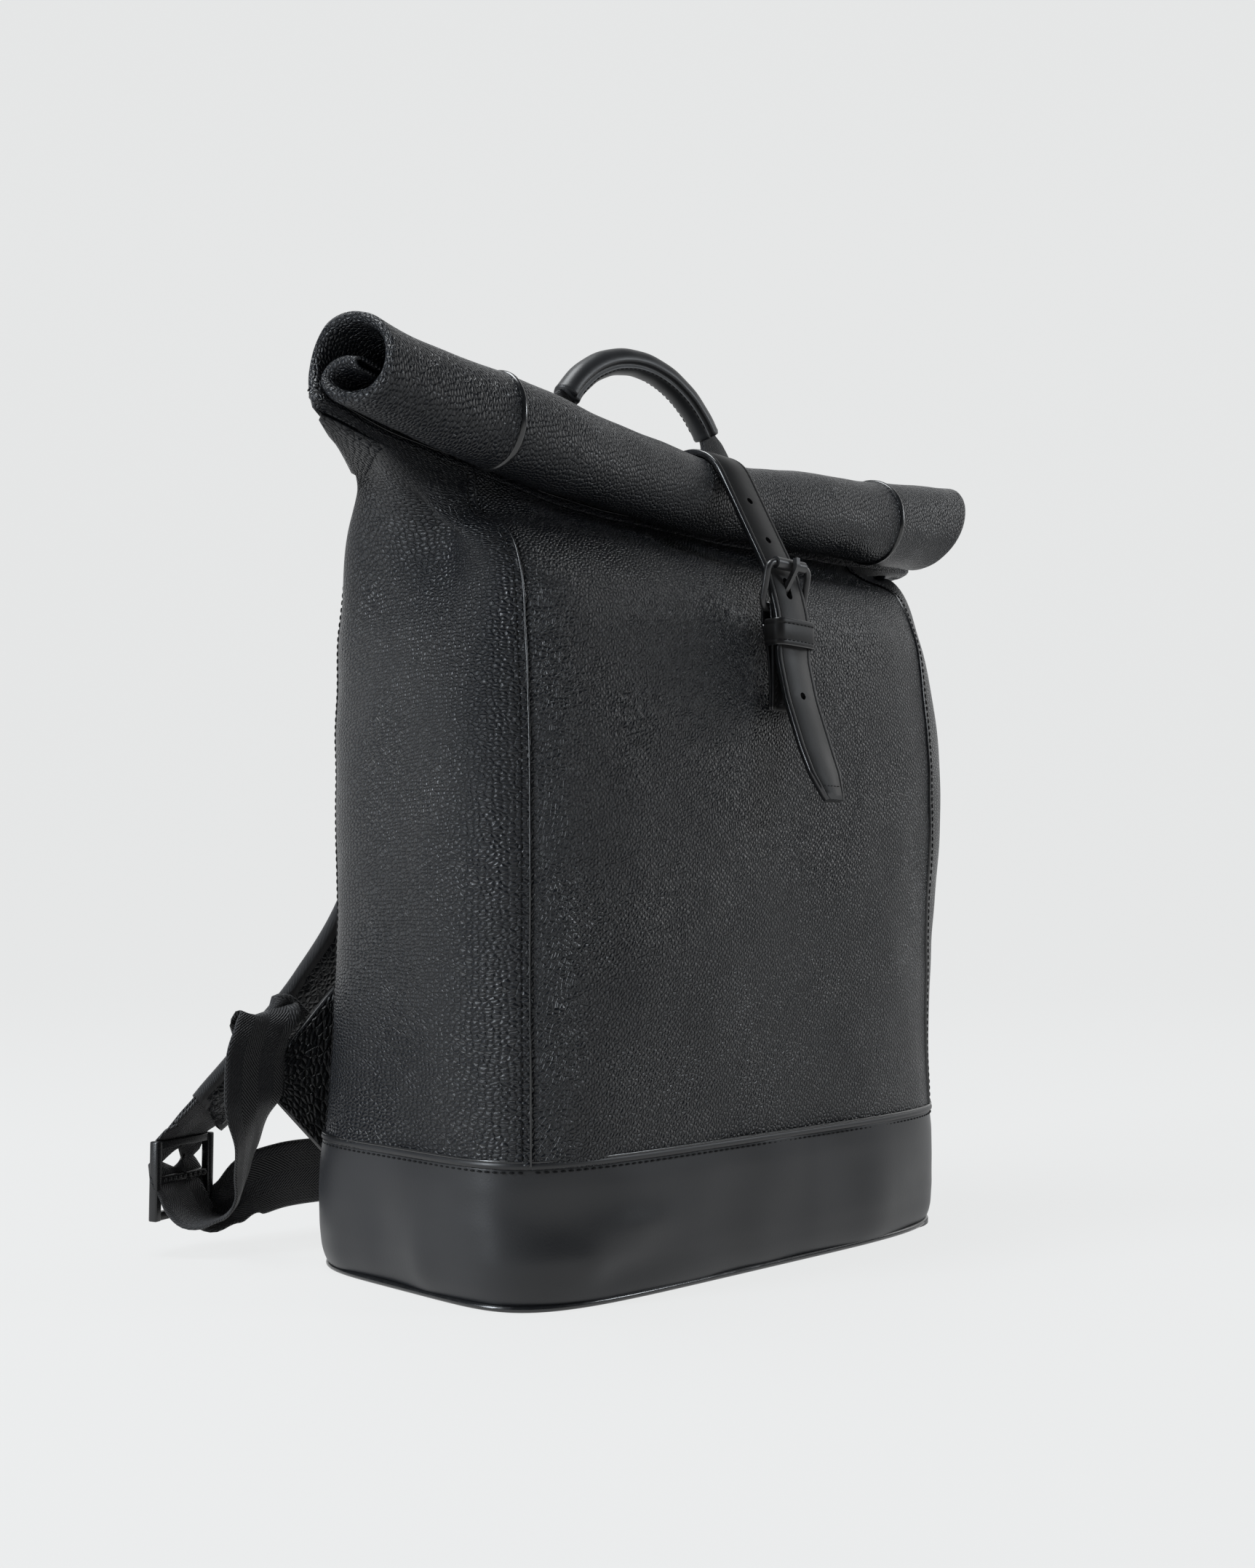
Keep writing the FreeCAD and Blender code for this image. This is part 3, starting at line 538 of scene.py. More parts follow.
# the lining stops below the shoulders, where the surface folds
LINING_GAP, LINING_ROWS = 2.4, slice(2, NECK - 34)
made_of(grid("lining_cloth_bag", (S - N * LINING_GAP)[LINING_ROWS], LINING, wrap=True), "lining_cloth", "lining")


# ---- seams on the bag
def surface_strip(name, rows, col, profile, flip, material, *cad):
    """A raised strip that follows one column of the bag's surface."""
    col %= AROUND
    line, out = S[rows, col], unit(N[rows, col])
    side = unit(S[rows, (col + 1) % AROUND] - S[rows, (col - 1) % AROUND])
    profile = [(a * flip, h) for a, h in profile][::flip]
    made_of(grid(name, ribs(line, side, out, profile), material), "edge_paint", *cad)
    return line, side, out


LAP = [(-3.4, -0.3), (-2.9, 0.08), (-2.1, 0.25), (-1.3, 0.36), (-0.5, 0.42), (-0.1, 0.34), (0.0, -0.5)]
LAP_EDGE = [(-0.45, 0.1), (-0.35, 0.62), (0.0, 0.74), (0.35, 0.5), (0.45, -0.5)]
ROLL_EDGE = [(-1.6, -0.4), (-1.4, 0.5), (-0.7, 1.0), (0.3, 1.0), (1.0, 0.5), (1.2, -0.4)]
BODY_ROWS = slice(1, NECK + 1)
for tag, col, flip in (("left_front", COL[0], 1), ("right_front", COL[1], -1),
                       ("right_back", COL[3], 1), ("left_back", COL[4], -1)):
    line, side, out = surface_strip(f"{tag}_seam_lap", BODY_ROWS, col, LAP, flip, GRAIN_SIDE, f"{tag}_seam_welt")
    surface_strip(f"{tag}_seam_edge", BODY_ROWS, col, LAP_EDGE, flip, EDGE)
    stitches(f"{tag}_seam_thread", line - side * 3.5 * flip, out)
for tag, col, flip in (("right", COL[3], 1), ("left", COL[4], -1)):
    surface_strip(f"{tag}_roll_edge", slice(NECK, END - 4), col, ROLL_EDGE, flip, EDGE)

# seam round the flattened tube where the collar starts
COLLAR_RIB = [(-2.4, -0.4), (-2.3, 0.2), (-1.8, 0.35), (-1.5, 0.2), (-1.4, -0.4)]
round_trip = list(range(AROUND)) + [0]
line, out = S[NECK + 3, round_trip], N[NECK + 3, round_trip]
stitches("collar_seam_thread", line, out)
up = unit(S[NECK + 4, round_trip] - S[NECK + 2, round_trip])
made_of(grid("collar_seam_edge", ribs(line, up, out, COLLAR_RIB), EDGE), "edge_paint")


# ---- base
BASE_CORNERS = (6.0, 4.05, 4.4)


def base_ring(z, half_width, front, back):
    return closed_section(half_width, half_width, front, back, BASE_CORNERS, level(z))


def base_rows(specs, count):
    """Rings at even heights between those of specs."""
    keys = np.array([base_ring(*spec) for spec in specs])
    z = np.array([spec[0] for spec in specs])
    given, wanted = (z - z[0]) / (z[-1] - z[0]), np.linspace(0, 1, count)
    flat = keys.reshape(len(keys), -1)
    rows = [np.interp(wanted, given, flat[:, k]) for k in range(flat.shape[1])]
    return np.stack(rows, 1).reshape(count, *keys.shape[1:])


# height, half width, front and back of the base band
BASE = [(1.4, 145.8, -80.6, 79.4), (4, 147.3, -82.2, 80.8), (9, 148.8, -83.4, 81.7), (18, 149.9, -84.1, 82.1),
        (32, 150.2, -84, 82.2), (46, 149.9, -83.6, 81.8), (54.6, 149.4, -82.6, 80.8)]
BASE_DENTS = [((-128, -66, 34), (16, 20, 13), -3.0), ((-100, -84, 10), (26, 20, 8), -2.6),
              ((-88, -84, 27), (20, 20, 8), 1.8), ((-112, -80, 14), (10, 20, 8), 1.4),
              ((-147, -20, 16), (20, 10, 14), 1.3), ((-149, 8, 24), (20, 13, 20), -1.8),
              ((-146, 38, 12), (20, 10, 14), 1.2), ((-40, -84, 32), (50, 20, 16), -1.0),
              ((110, -84, 20), (22, 20, 16), -1.2), ((60, -84, 22), (20, 20, 16), 0.8),
              ((148, 0, 26), (20, 26, 16), -1.4)]
B = undulated(dented(smoothed(base_rows(BASE, 46), 3), BASE_DENTS), 1.1, 34, 5.5)
made_of(grid("base_band_leather", B, BASE_LEATHER, wrap=True, thickness=1.4), "smooth_leather", "base_band")


def hoop(name, spec, profile, material, *cad, slot="edge_paint"):
    """A profile of (outwards, up) offsets carried round the bag at one height."""
    ring = base_ring(*spec)
    t = unit(np.roll(ring, -1, 0) - np.roll(ring, 1, 0))
    out = unit(np.cross(t, UP))
    P = ribs(ring, out, np.tile(UP, (len(ring), 1)), profile)
    made_of(grid(name, np.concatenate([P, P[:1]]), material, wrap=True), slot, *cad)
    return np.concatenate([ring, ring[:1]]), np.concatenate([out, out[:1]])


def circle(r, n=10, shift=0.0):
    turns = [k * 2 * math.pi / n for k in range(n)]
    return [(r * math.cos(q) + shift, r * math.sin(q)) for q in turns]


BASE_TOP = (54.4, 149.4, -82.7, 80.9)
TOP_BINDING = [(-1.6, -0.4), (0.3, -0.5), (0.85, 0.1), (0.95, 1.0), (0.7, 1.9), (0.1, 2.4), (-1.6, 2.4)]
ring, out = hoop("base_top_binding_leather", BASE_TOP, TOP_BINDING, SMOOTH, "base_top_binding", slot="smooth_leather")
hoop("base_top_edge", (BASE_TOP[0] + 2.5, *BASE_TOP[1:]), circle(0.62, shift=0.15), EDGE)
stitches("base_top_thread", ring - UP * 1.6, out, pitch=3.4, radius=0.4)
hoop("bottom_welt_edge", (1.35, 146.6, -81.5, 80.2), circle(1.3, 12, -0.6), EDGE, "bottom_welt")


# CAD nodes that keep their own shape
for cad, mat in {"bottom_panel": BASE_LEATHER, "base_stiffener": BOARD, "back_foam": FOAM, "handle_core": FOAM,
                 "buckle_frame": METAL, "buckle_roller": METAL, "buckle_prong": METAL}.items():
    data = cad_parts[cad].data
    data.materials.clear()
    data.materials.append(mat)


# ---- closing strap
def tangent_path(points, radii, step=1.6):
    """A polyline in the (y, z) plane with tangent arcs at its corners, as points."""
    P = np.asarray(points, float)
    out = [P[0]]
    for i in range(1, len(P) - 1):
        before, after = unit(P[i] - P[i - 1]), unit(P[i + 1] - P[i])
        turn = before[0] * after[1] - before[1] * after[0]
        angle = math.acos(float(np.clip(before @ after, -1, 1)))
        radius = radii[i - 1]
        a = P[i] - before * radius * math.tan(angle / 2)
        side = 1.0 if turn > 0 else -1.0
        centre = a + np.array([-before[1], before[0]]) * side * radius
        y, z = a - centre
        for q in np.linspace(0, angle * side, max(3, int(radius * angle / step))):
            out.append(centre + [y * math.cos(q) - z * math.sin(q), y * math.sin(q) + z * math.cos(q)])
    out.append(P[-1])
    return resample(out, step)


def top_of_bag(x, y):
    """Height of the back half of the bag's top surface over a point."""
    col = min(range(COL[3], COL[4]), key=lambda c: abs(S[NECK - 12, c, 0] - x))
    line = S[NECK - 32: NECK + 2, col]      # from the shoulder to the first rows of the roll
    order = np.argsort(line[:, 1])
    return float(np.interp(y, line[order, 1], line[order, 2]))


def frames_yz(path, x):
    """Centres, across directions and outward normals of a strip along a (y, z) path at one x."""
    T = tangents(path)
    C = np.column_stack([np.full(len(path), float(x)), path])
    A = np.tile([1.0, 0, 0], (len(path), 1))
    return C, A, np.column_stack([np.zeros(len(path)), T[:, 1], -T[:, 0]])


def cut_holes(obj, holes):
    """Round holes of (centre, normal, radius) through a strap, with painted walls."""
    for centre, normal, radius in holes:
        bm = bmesh.new()
        bmesh.ops.create_cone(bm, cap_ends=True, segments=20, radius1=radius * MM, radius2=radius * MM, depth=0.009)
        mesh = bpy.data.meshes.new("hole")
        bm.to_mesh(mesh)
        bm.free()
        mesh.materials.append(EDGE)
        cutter = link(bpy.data.objects.new("hole", mesh))
        cutter.rotation_mode = "QUATERNION"
        cutter.rotation_quaternion = Vector(normal).normalized().to_track_quat("Z", "Y")
        cutter.location = Vector(centre) * MM
        cut = obj.modifiers.new("hole", "BOOLEAN")
        cut.object, cut.operation, cut.solver = cutter, "DIFFERENCE", "EXACT"
        bpy.context.view_layer.update()
        mesh = evaluated_mesh(obj)
        obj.modifiers.clear()
        obj.data = mesh
        bpy.data.objects.remove(cutter)
    obj.data.set_sharp_from_angle(angle=math.radians(50))


def leather_strip(name, frames, half_width, half_thick, *cad, body="bag", scale=1.0, grooves=True):
    """A length of strap leather with painted edges; scale narrows it along its length."""
    profile, flags = strap_profile(half_width, half_thick, grooves)
    centres, across, normals = frames
    P = ribs(centres, across * scale, normals, profile)
    return made_of(tube(name, P, [STRAP_LEATHER, EDGE], body, flags=flags), "smooth_leather", *cad)


def row_across(name, frames, k, reach, count, lift, body="bag", **thread):
    """A row of stitches across a strap at its point k."""
    C, A, normals = frames
    line = np.array([C[k] + A[0] * q + normals[k] * lift for q in np.linspace(-reach, reach, count)])
    return stitches(name, line, np.tile(normals[k], (count, 1)), body, **thread)


STRAP_HALF = 11
over_roll = tangent_path([(-11.5, 324), (-11.5, 362.4), (-46.5, 362.4), (-80.9, 299.5), (-86.6, 279), (-86.6, 262.4)],
                         [18.5, 22, 60, 30])
tail = tangent_path([(-86.6, 261.9), (-91.2, 243), (-99.3, 221), (-108.8, 198.6)], [60, 90])
behind = smooth_curve([(y, top_of_bag(STRAP_X, y) + 1.9) for y in (50, 38, 26, 14, 4)]
                      + [(-4, 315.2), (-9.6, 319.2), (-11.4, 325)], 1.6)
strap_path = smoothed(resample(np.concatenate([behind, over_roll[3:], tail]), 1.6), 4)
strap_frames = C, A, NS = frames_yz(strap_path, STRAP_X)
run = np.cumsum(np.linalg.norm(np.diff(C, axis=0, prepend=C[:1]), axis=1))
# the tip narrows over its last 26 mm
narrow = np.interp(run[-1] - run, [0, 1.0, 2.5, 13, 26], [0.50, 0.58, 0.63, 0.93, 1.0])[:, None]
strap = leather_strip("closing_strap_leather", strap_frames, STRAP_HALF, 1.5, "closing_strap", "strap_tip",
                      body=None, scale=narrow)
# heights of the holes: the prong's slot is a row of round ones, and the others are round
PRONG_SLOT, OTHER_HOLES = (290.4, 291.9, 293.4, 294.9, 296.4), (315.8, 336.5, 245)
top_row = int(np.argmax(strap_path[:, 1]))
holes = []
for z in PRONG_SLOT + OTHER_HOLES:
    k = min(range(top_row, len(C)), key=lambda row: abs(strap_path[row][1] - z))
    holes.append((C[k], NS[k], 2.0 if z in PRONG_SLOT else 1.7))
cut_holes(strap, holes)
bending = [strap]
for tag, s in (("left", -1), ("right", 1)):
    line = C + A * (s * (STRAP_HALF - 2.5) * narrow) + NS * 1.2
    bending.append(stitches(f"strap_{tag}_thread", line[6:-3], NS[6:-3], None, pitch=2.9, length=2.1, radius=0.27))
bending.append(row_across("strap_tip_thread", strap_frames, -5, 6.6, 20, 1.35, None,
                          pitch=2.4, length=1.8, radius=0.27))
for piece in bending:
    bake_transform(piece)

# anchor patch on the back of the top
patch_path = smooth_curve([(y, top_of_bag(STRAP_X, y) + 0.9) for y in (60, 52, 44, 36, 28, 22)], 2)
PC, PA, PN = patch_frames = frames_yz(patch_path, STRAP_X)
leather_strip("strap_anchor_leather", patch_frames, 16, 0.8, "strap_anchor_patch")
inner = range(1, len(PC) - 1)
outline = ([(k, -13.4) for k in inner] + [(inner[-1], q) for q in np.linspace(-13, 13, 12)]
           + [(k, 13.4) for k in inner[::-1]])
outline = np.array([PC[k] + PN[k] * 0.8 + PA[0] * q for k, q in outline])
stitches("strap_anchor_thread", outline, np.tile(PN[len(PN) // 2], (len(outline), 1)))

# chape: two layers under the keeper, open for the prong round the base bar
BAR_Y, BAR_Z = -80.6, 284.0
CHAPE_THREAD = {"pitch": 2.9, "length": 2.1}
for tag, points in (("front", [(-83.8, 278), (-83.85, 262), (-83.85, 247), (-83.5, 239)]),
                    ("back", [(-78.6, 277), (-81.0, 266), (-82.1, 256), (-82.3, 247), (-82.15, 239)])):
    CC, CA, CN = frames = frames_yz(smooth_curve(points, 1.5), STRAP_X)
    leather_strip(f"chape_{tag}_leather", frames, STRAP_HALF, 0.72, *(["buckle_chape"] if tag == "front" else []))
    if tag == "front":
        for side, s in (("left", -1), ("right", 1)):
            stitches(f"chape_{side}_thread", (CC + CA * s * 8.6 + CN * 0.7)[9:], CN[9:], **CHAPE_THREAD)
        row_across("chape_end_thread", frames, -3, 8, 16, 0.7, **CHAPE_THREAD)
loop = [(-78.3, 276), (-78.15, 280)]
loop += [(BAR_Y + 2.42 * math.cos(q), BAR_Z + 2.42 * math.sin(q)) for q in np.linspace(0, math.pi, 13)]
loop += [(-83.4, 280), (-83.8, 276)]
for tag, x in (("left", -3.9), ("right", 9.9)):
    CC, CA, CN = frames_yz(resample(loop, 0.8), x)
    CN = -CN if CN[len(CN) // 2][2] < 0 else CN
    leather_strip(f"chape_loop_{tag}_leather", (CC, CA, CN), 4.1, 0.7, grooves=False)


# keeper: a closed band round the strap and the chape
def rounded_rectangle(x0, x1, y0, y1, r, n=7):
    out = []
    for cx, cy, start in ((x1 - r, y1 - r, 0), (x0 + r, y1 - r, 90), (x0 + r, y0 + r, 180), (x1 - r, y0 + r, 270)):
        for q in np.linspace(start, start + 90, n):
            out.append((cx + r * math.cos(math.radians(q)), cy + r * math.sin(math.radians(q))))
    return np.array(out)


KEEPER_Z = 273
path = rounded_rectangle(STRAP_X - 12.2, STRAP_X + 12.2, -89.4, -80.3, 2.6)
path = resample(np.concatenate([path, path[:1]]), 1.0)[:-1]
T = unit(np.roll(path, -1, 0) - np.roll(path, 1, 0))
front = np.clip((-84 - path[:, 1]) / 5.4, 0, 1)
bow = 0.9 * front * (1 - ((path[:, 0] - STRAP_X) / 12.5) ** 2)
KC = np.column_stack([path[:, 0], path[:, 1] - bow, np.full(len(path), KEEPER_Z)])
KO = np.column_stack([T[:, 1], -T[:, 0], np.zeros(len(path))])
KA = np.tile(UP, (len(KC), 1))
profile, flags = strap_profile(6, 0.72)
K = ribs(KC, KA, KO, profile)
keeper = tube("strap_keeper_leather", np.concatenate([K, K[:1]]), [STRAP_LEATHER, EDGE], caps=False, flags=flags)
made_of(keeper, "smooth_leather", "strap_keeper")
facing = [i for i in range(len(KC)) if KO[i][1] < -0.6]
for tag, s in (("upper", 1), ("lower", -1)):
    stitches(f"keeper_{tag}_thread", (KC + KA * s * 3.7 + KO * 0.62)[facing], KO[facing],
             pitch=2.6, length=1.9, radius=0.27)


# ---- carrying handle
HANDLE_Y = 5.0
GRIP_R = 57.3       # radius of the bent grip's middle line


def bell(x, width):
    return np.exp(-(x / width) ** 2)


def degrees_from(q, a):
    return (math.degrees(q) - a + 180) % 360 - 180


arc = [math.radians(a) for a in np.linspace(146.9, 33.1, 90)]
HC = np.array([(GRIP_R * math.cos(a), HANDLE_Y, 356.7 + GRIP_R * math.sin(a)) for a in arc])
HO = np.array([(math.cos(a), 0, math.sin(a)) for a in arc])
HA = np.tile([0, 1.0, 0], (len(HC), 1))
# round, with a groove for each row of stitches and a flat underside
profile = []
for q in [k * 2 * math.pi / 56 for k in range(56)]:
    r = 6.5 - sum(1.7 * bell(degrees_from(q, a), 9) for a in (-22, 202)) - 0.6 * bell(degrees_from(q, 270), 40)
    profile.append((r * math.cos(q), r * math.sin(q)))
along = np.linspace(-1, 1, len(HC))
end = np.abs(along)
swell = 1 + 0.035 * bell(end - 0.985, 0.02) + 0.012 * np.sin(along * 23) - 0.05 * bell(end - 1.0, 0.006)
swell = swell[:, None]
grip = tube("handle_grip_leather", ribs(HC, HA * swell, HO * swell, profile), SMOOTH, "carry_handle")
made_of(grip, "smooth_leather", "handle_grip")
q = math.radians(-40)
for tag, s in (("front", -1), ("back", 1)):
    out = HA * (s * math.cos(q)) + HO * math.sin(q)
    stitches(f"handle_{tag}_thread", (HC + out * 6.3)[3:-3], out[3:-3], "carry_handle",
             pitch=3.0, length=2.2, radius=0.28)


def ribbon_frames(stations, step):
    """Smooth centres, across directions, normals and half widths through (centre, half-width vector) stations."""
    F = smooth_curve([list(c) + list(h) for c, h in stations], step)
    centre, half = F[:, :3], F[:, 3:]
    T = tangents(centre)
    half = half - T * (half * T).sum(1, keepdims=True)
    width = np.linalg.norm(half, axis=1)
    across = half / width[:, None]
    return centre, across, unit(np.cross(T, across)), width


def ribbon(name, stations, thickness, step, *cad, crown=0.0, wave=0.0, seed=0):
    """A flat woven strip with rounded edges through the stations."""
    centre, across, normal, width = frames = ribbon_frames(stations, step)
    h = thickness / 2
    xs = np.linspace(-0.96, 0.96, 15)
    top = [(x, h + crown * (1 - x * x)) for x in xs]
    low = [(x, -h + crown * (1 - x * x)) for x in xs[::-1]]
    P = ribs(centre, across * width[:, None], normal, top + [(1.0, 0.0)] + low + [(-1.0, 0.0)])
    for i, j in np.ndindex(P.shape[:2]) if wave else ():
        P[i, j] += normal[i] * wave * noise.noise(Vector(P[i, j] / 14 + seed))
    return made_of(tube(name, P, WEBBING, None), "webbing", *cad), frames


FOOT_X = 57.5
down = np.array([0.546, 0, -0.838])     # out of the grip's end
for tag, s in (("left", -1), ("right", 1)):
    mouth = np.array([48.0, HANDLE_Y, 388.0])
    stations = [(mouth + down * d, half) for d, half in
                ((-6, (4.0, 0, 2.6)), (1.0, (4.6, 0, 3.0)), (7.5, (7.6, 0, 3.2)), (15, (9.6, 0.5, 1.8)))]
    stations.append(((FOOT_X, 6.5, 362), (11.0, 0, 0)))
    stations.append(((FOOT_X, 7.5, 345), (12.2, 0, 0)))
    stations += [((FOOT_X, y, z), (12.5, 0, 0)) for y, z in ((9, 328), (10.6, top_of_bag(FOOT_X, 14) + 5))]
    stations += [((FOOT_X, y, top_of_bag(FOOT_X, y) + lift), (12.5, 0, 0))
                 for y, lift in ((16, 1.9), (26, 1.6), (37, 1.5))]
    stations = [(np.array(c) * [s, 1, 1], np.array(h) * [1, 1, s]) for c, h in stations]
    web, (wc, wa, wn, _) = ribbon(f"handle_{tag}_webbing_woven", stations, 2.2, 1.6,
                                   f"handle_{tag}_webbing", f"handle_{tag}_foot", crown=0.9)
    seam = stitches(f"handle_{tag}_centre_thread", (wc - wn * 1.9)[4:30], -wn[4:30], None, pitch=3.4)
    for piece in (web, seam):
        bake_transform(piece)
    foot = [i for i in range(len(wc)) if wc[i][1] > 18]
    if wn[foot[-1]][2] < 0:
        wn = -wn
    box = [(i, 9.5) for i in foot] + [(foot[-2], q) for q in np.linspace(9, -9, 8)] + [(i, -9.5) for i in foot[::-1]]
    box = [wc[i] + wa[i] * q + wn[i] * 1.9 for i, q in box]
    stitches(f"handle_{tag}_foot_thread", box, np.tile(wn[foot[1]], (len(box), 1)))


# ---- padded pieces
CLOTH_FRAMES = 20


def inflate(obj, start, pinned, pressure, cap):
    """Where the points of the mesh are after the cloth simulation, none moved by more than cap."""
    group = obj.vertex_groups.new(name="sewn")
    for i, p in enumerate(start):
        if pinned(p):
            group.add([i], 1.0, "REPLACE")
    cloth = obj.modifiers.new("cloth", "CLOTH")
    settings = cloth.settings
    settings.quality, settings.mass, settings.air_damping = 6, 0.2, 2.0
    settings.tension_stiffness = settings.compression_stiffness = 12
    settings.shear_stiffness, settings.bending_stiffness = 6, 0.6
    settings.use_pressure, settings.uniform_pressure_force = True, pressure
    settings.vertex_group_mass = "sewn"
    settings.effector_weights.gravity = 0
    cloth.collision_settings.use_collision = False
    cloth.point_cache.frame_start, cloth.point_cache.frame_end = 1, CLOTH_FRAMES
    for f in range(1, CLOTH_FRAMES + 1):
        bpy.context.scene.frame_set(f)
    found = evaluated_mesh(obj)
    step = np.array([v.co for v in found.vertices]) / MM - start
    obj.modifiers.clear()
    obj.vertex_groups.clear()
    bpy.data.meshes.remove(found)
    bpy.context.scene.frame_set(1)
    far = np.linalg.norm(step, axis=1, keepdims=True)
    return start + step * np.minimum(1, cap / np.maximum(far, 1e-6))


def cushion(name, rows, materials, body, pinned, chooser, cap, slot, pressure=5, voxel=0.0045):
    """Inflates a closed tube of rows by cloth simulation; the points for which pinned is true stay where they are."""
    obj = tube(name, rows, materials[0], None)
    remesh = obj.modifiers.new("remesh", "REMESH")
    remesh.mode, remesh.voxel_size = "VOXEL", voxel
    bpy.context.view_layer.update()
    mesh = evaluated_mesh(obj)
    obj.modifiers.clear()
    obj.data = mesh
    start = np.array([v.co for v in mesh.vertices]) / MM
    mesh.vertices.foreach_set("co", (inflate(obj, start, pinned, pressure, cap) * MM).ravel())
    mesh.materials.clear()
    for m in materials:
        mesh.materials.append(m)
    for p in mesh.polygons:
        p.material_index = chooser(np.array(p.center) / MM)
        p.use_smooth = True
    mesh.update()
    fine = obj.modifiers.new("fine", "SUBSURF")
    fine.levels = fine.render_levels = 1
    if body:
        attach(obj, body)
    return made_of(obj, slot)


# stations of a strap: its middle, and the vector from there to its edge
STRAP_STATIONS = [((-46, 72.5, 303), (25, 0, 0)), ((-47.5, 82, 293), (25.5, 0, 0)), ((-49, 89, 278), (26, 0, 0)),
                  ((-53, 93.5, 245), (27, 0, -2.7)), ((-62, 98, 200), (26.3, 0, -5.4)),
                  ((-78, 104, 150), (24.5, 2.6, -7.8)), ((-104, 112, 112), (21.5, 6.2, -8.7)),
                  ((-132, 119, 84), (18.4, 6.6, -6.6)), ((-150, 123.5, 67), (16.6, 5.5, -3.7)),
                  ((-157, 125.2, 60), (15.6, 5.2, -3.0))]


def pad_rows(frames, half_thick=4.2, edge_thick=2.0, shrink=0.97):
    """Rows of a flat pad, thinner at its edges."""
    centre, across, normal, width = frames
    u = np.linspace(-1, 1, 13)
    h = edge_thick + (half_thick - edge_thick) * np.sqrt(np.clip(1 - u ** 4, 0, 1))
    profile = list(zip(u, h)) + list(zip(u[::-1], -h[::-1]))
    return ribs(centre, across * (width * shrink)[:, None], normal, profile)


def place_on_pad(p):
    """The nearest station of the pad, the share of its half width and the height over it."""
    centre, across, normal, width = PAD_FRAMES
    i = int(np.argmin(((centre - p) ** 2).sum(1)))
    d = p - centre[i]
    return i, float(d @ across[i]) / width[i], float(d @ normal[i])


def mirrored_copy(obj, name):
    mesh = obj.data.copy()
    mesh.name = name
    co = np.empty(len(mesh.vertices) * 3, np.float32)
    mesh.vertices.foreach_get("co", co)
    co[0::3] *= -1
    mesh.vertices.foreach_set("co", co)
    mesh.flip_normals()
    mesh.update()
    twin = link(bpy.data.objects.new(name, mesh))
    for mod in obj.modifiers:
        made = twin.modifiers.new(mod.name, mod.type)
        made.levels, made.render_levels = mod.levels, mod.render_levels
    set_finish(twin, obj["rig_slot"])
    return twin


def both(obj, *replaced, body=None, bend=None, pad=None):
    """Finishes a left-hand piece and adds its mirrored twin. They ride on body or on their harness; with bend given,
    they ride on neither, their place baked into the mesh."""
    twin = mirrored_copy(obj, obj.name.replace("left_", "right_", 1))
    for o, side, s in ((obj, "left", 1), (twin, "right", -1)):
        if bend:
            [(s * x, y, z) for x, y, z in bend]
            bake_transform(o)
        else:
            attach(o, body or f"{side}_harness")
        if replaced:
            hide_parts(*[f"{side}_{n}" for n in replaced])


PAD_FRAMES = ribbon_frames(STRAP_STATIONS, 4.0)


def sewn(p):
    i, u, _ = place_on_pad(p)
    return abs(u) > 0.84 or i < 3 or i > len(PAD_FRAMES[0]) - 6


def strap_side(p):
    """Leather outside, mesh towards the back."""
    return 1 if place_on_pad(p)[2] < 0 else 0


both(cushion("left_shoulder_pad_padded", pad_rows(PAD_FRAMES), [GRAIN_PAD, MESH], None, sewn, strap_side, 4.5,
             "grain_leather"), "shoulder_strap_pad", "shoulder_strap_leather", "shoulder_strap_lining", pad=0.75)

TAPE_OUT = [(-9.0, 2.7), (-6.0, 3.0), (-2.5, 2.9), (-0.4, 2.2), (0.5, 0.9)]
TAPE_IN = [(-9.0, -2.3), (-6, -2.4), (-2.5, -2.2), (-1.0, -1.6)]
TAPE = TAPE_OUT + [(a, -h) for a, h in TAPE_OUT[::-1]] + TAPE_IN + [(-0.4, 0)] + [(a, -h) for a, h in TAPE_IN[::-1]]
centre, across, normal, width = ribbon_frames(STRAP_STATIONS, 2.5)
for tag, s in (("inner", 1), ("outer", -1)):
    P = ribs(centre + across * (s * width[:, None]), across * s, normal, TAPE)
    both(made_of(tube(f"left_strap_{tag}_binding", P, BINDING, None), "webbing"))
    for face, t in (("face", 1), ("lining", -1)):
        line = centre + across * (s * (width[:, None] - 7.6)) + normal * (t * 2.95)
        both(stitches(f"left_strap_{tag}_{face}_thread", line[2:-2], normal[2:-2] * t, None, pitch=3.0))

# webbing loop sewn on the end of the strap, round the adjuster's top bar
FLAT = (14.2, 4.9, 0)       # half width where webbing lies along the adjuster's bars
LOOP = [((-147, 121.8, 70.5), (14.6, 4.9, -3.4)), ((-156, 125.2, 61.5), (14.6, 4.9, -2.6)),
        ((-162.6, 128.2, 55.2), (14.3, 4.9, -1)), ((-165.6, 129.9, 51.6), FLAT), ((-168.2, 130.6, 49.4), FLAT),
        ((-169.4, 131.5, 46.8), FLAT), ((-167.4, 133.3, 44.8), FLAT), ((-164.6, 134.0, 46.6), FLAT),
        ((-163.2, 133.4, 50.6), FLAT), ((-160.0, 131.2, 56.0), (14.3, 4.9, -1)),
        ((-152, 127.8, 65.0), (14.5, 4.9, -2.6))]
both(ribbon("left_adjuster_loop_woven", LOOP, 1.3, 1.5)[0], "adjuster_loop")

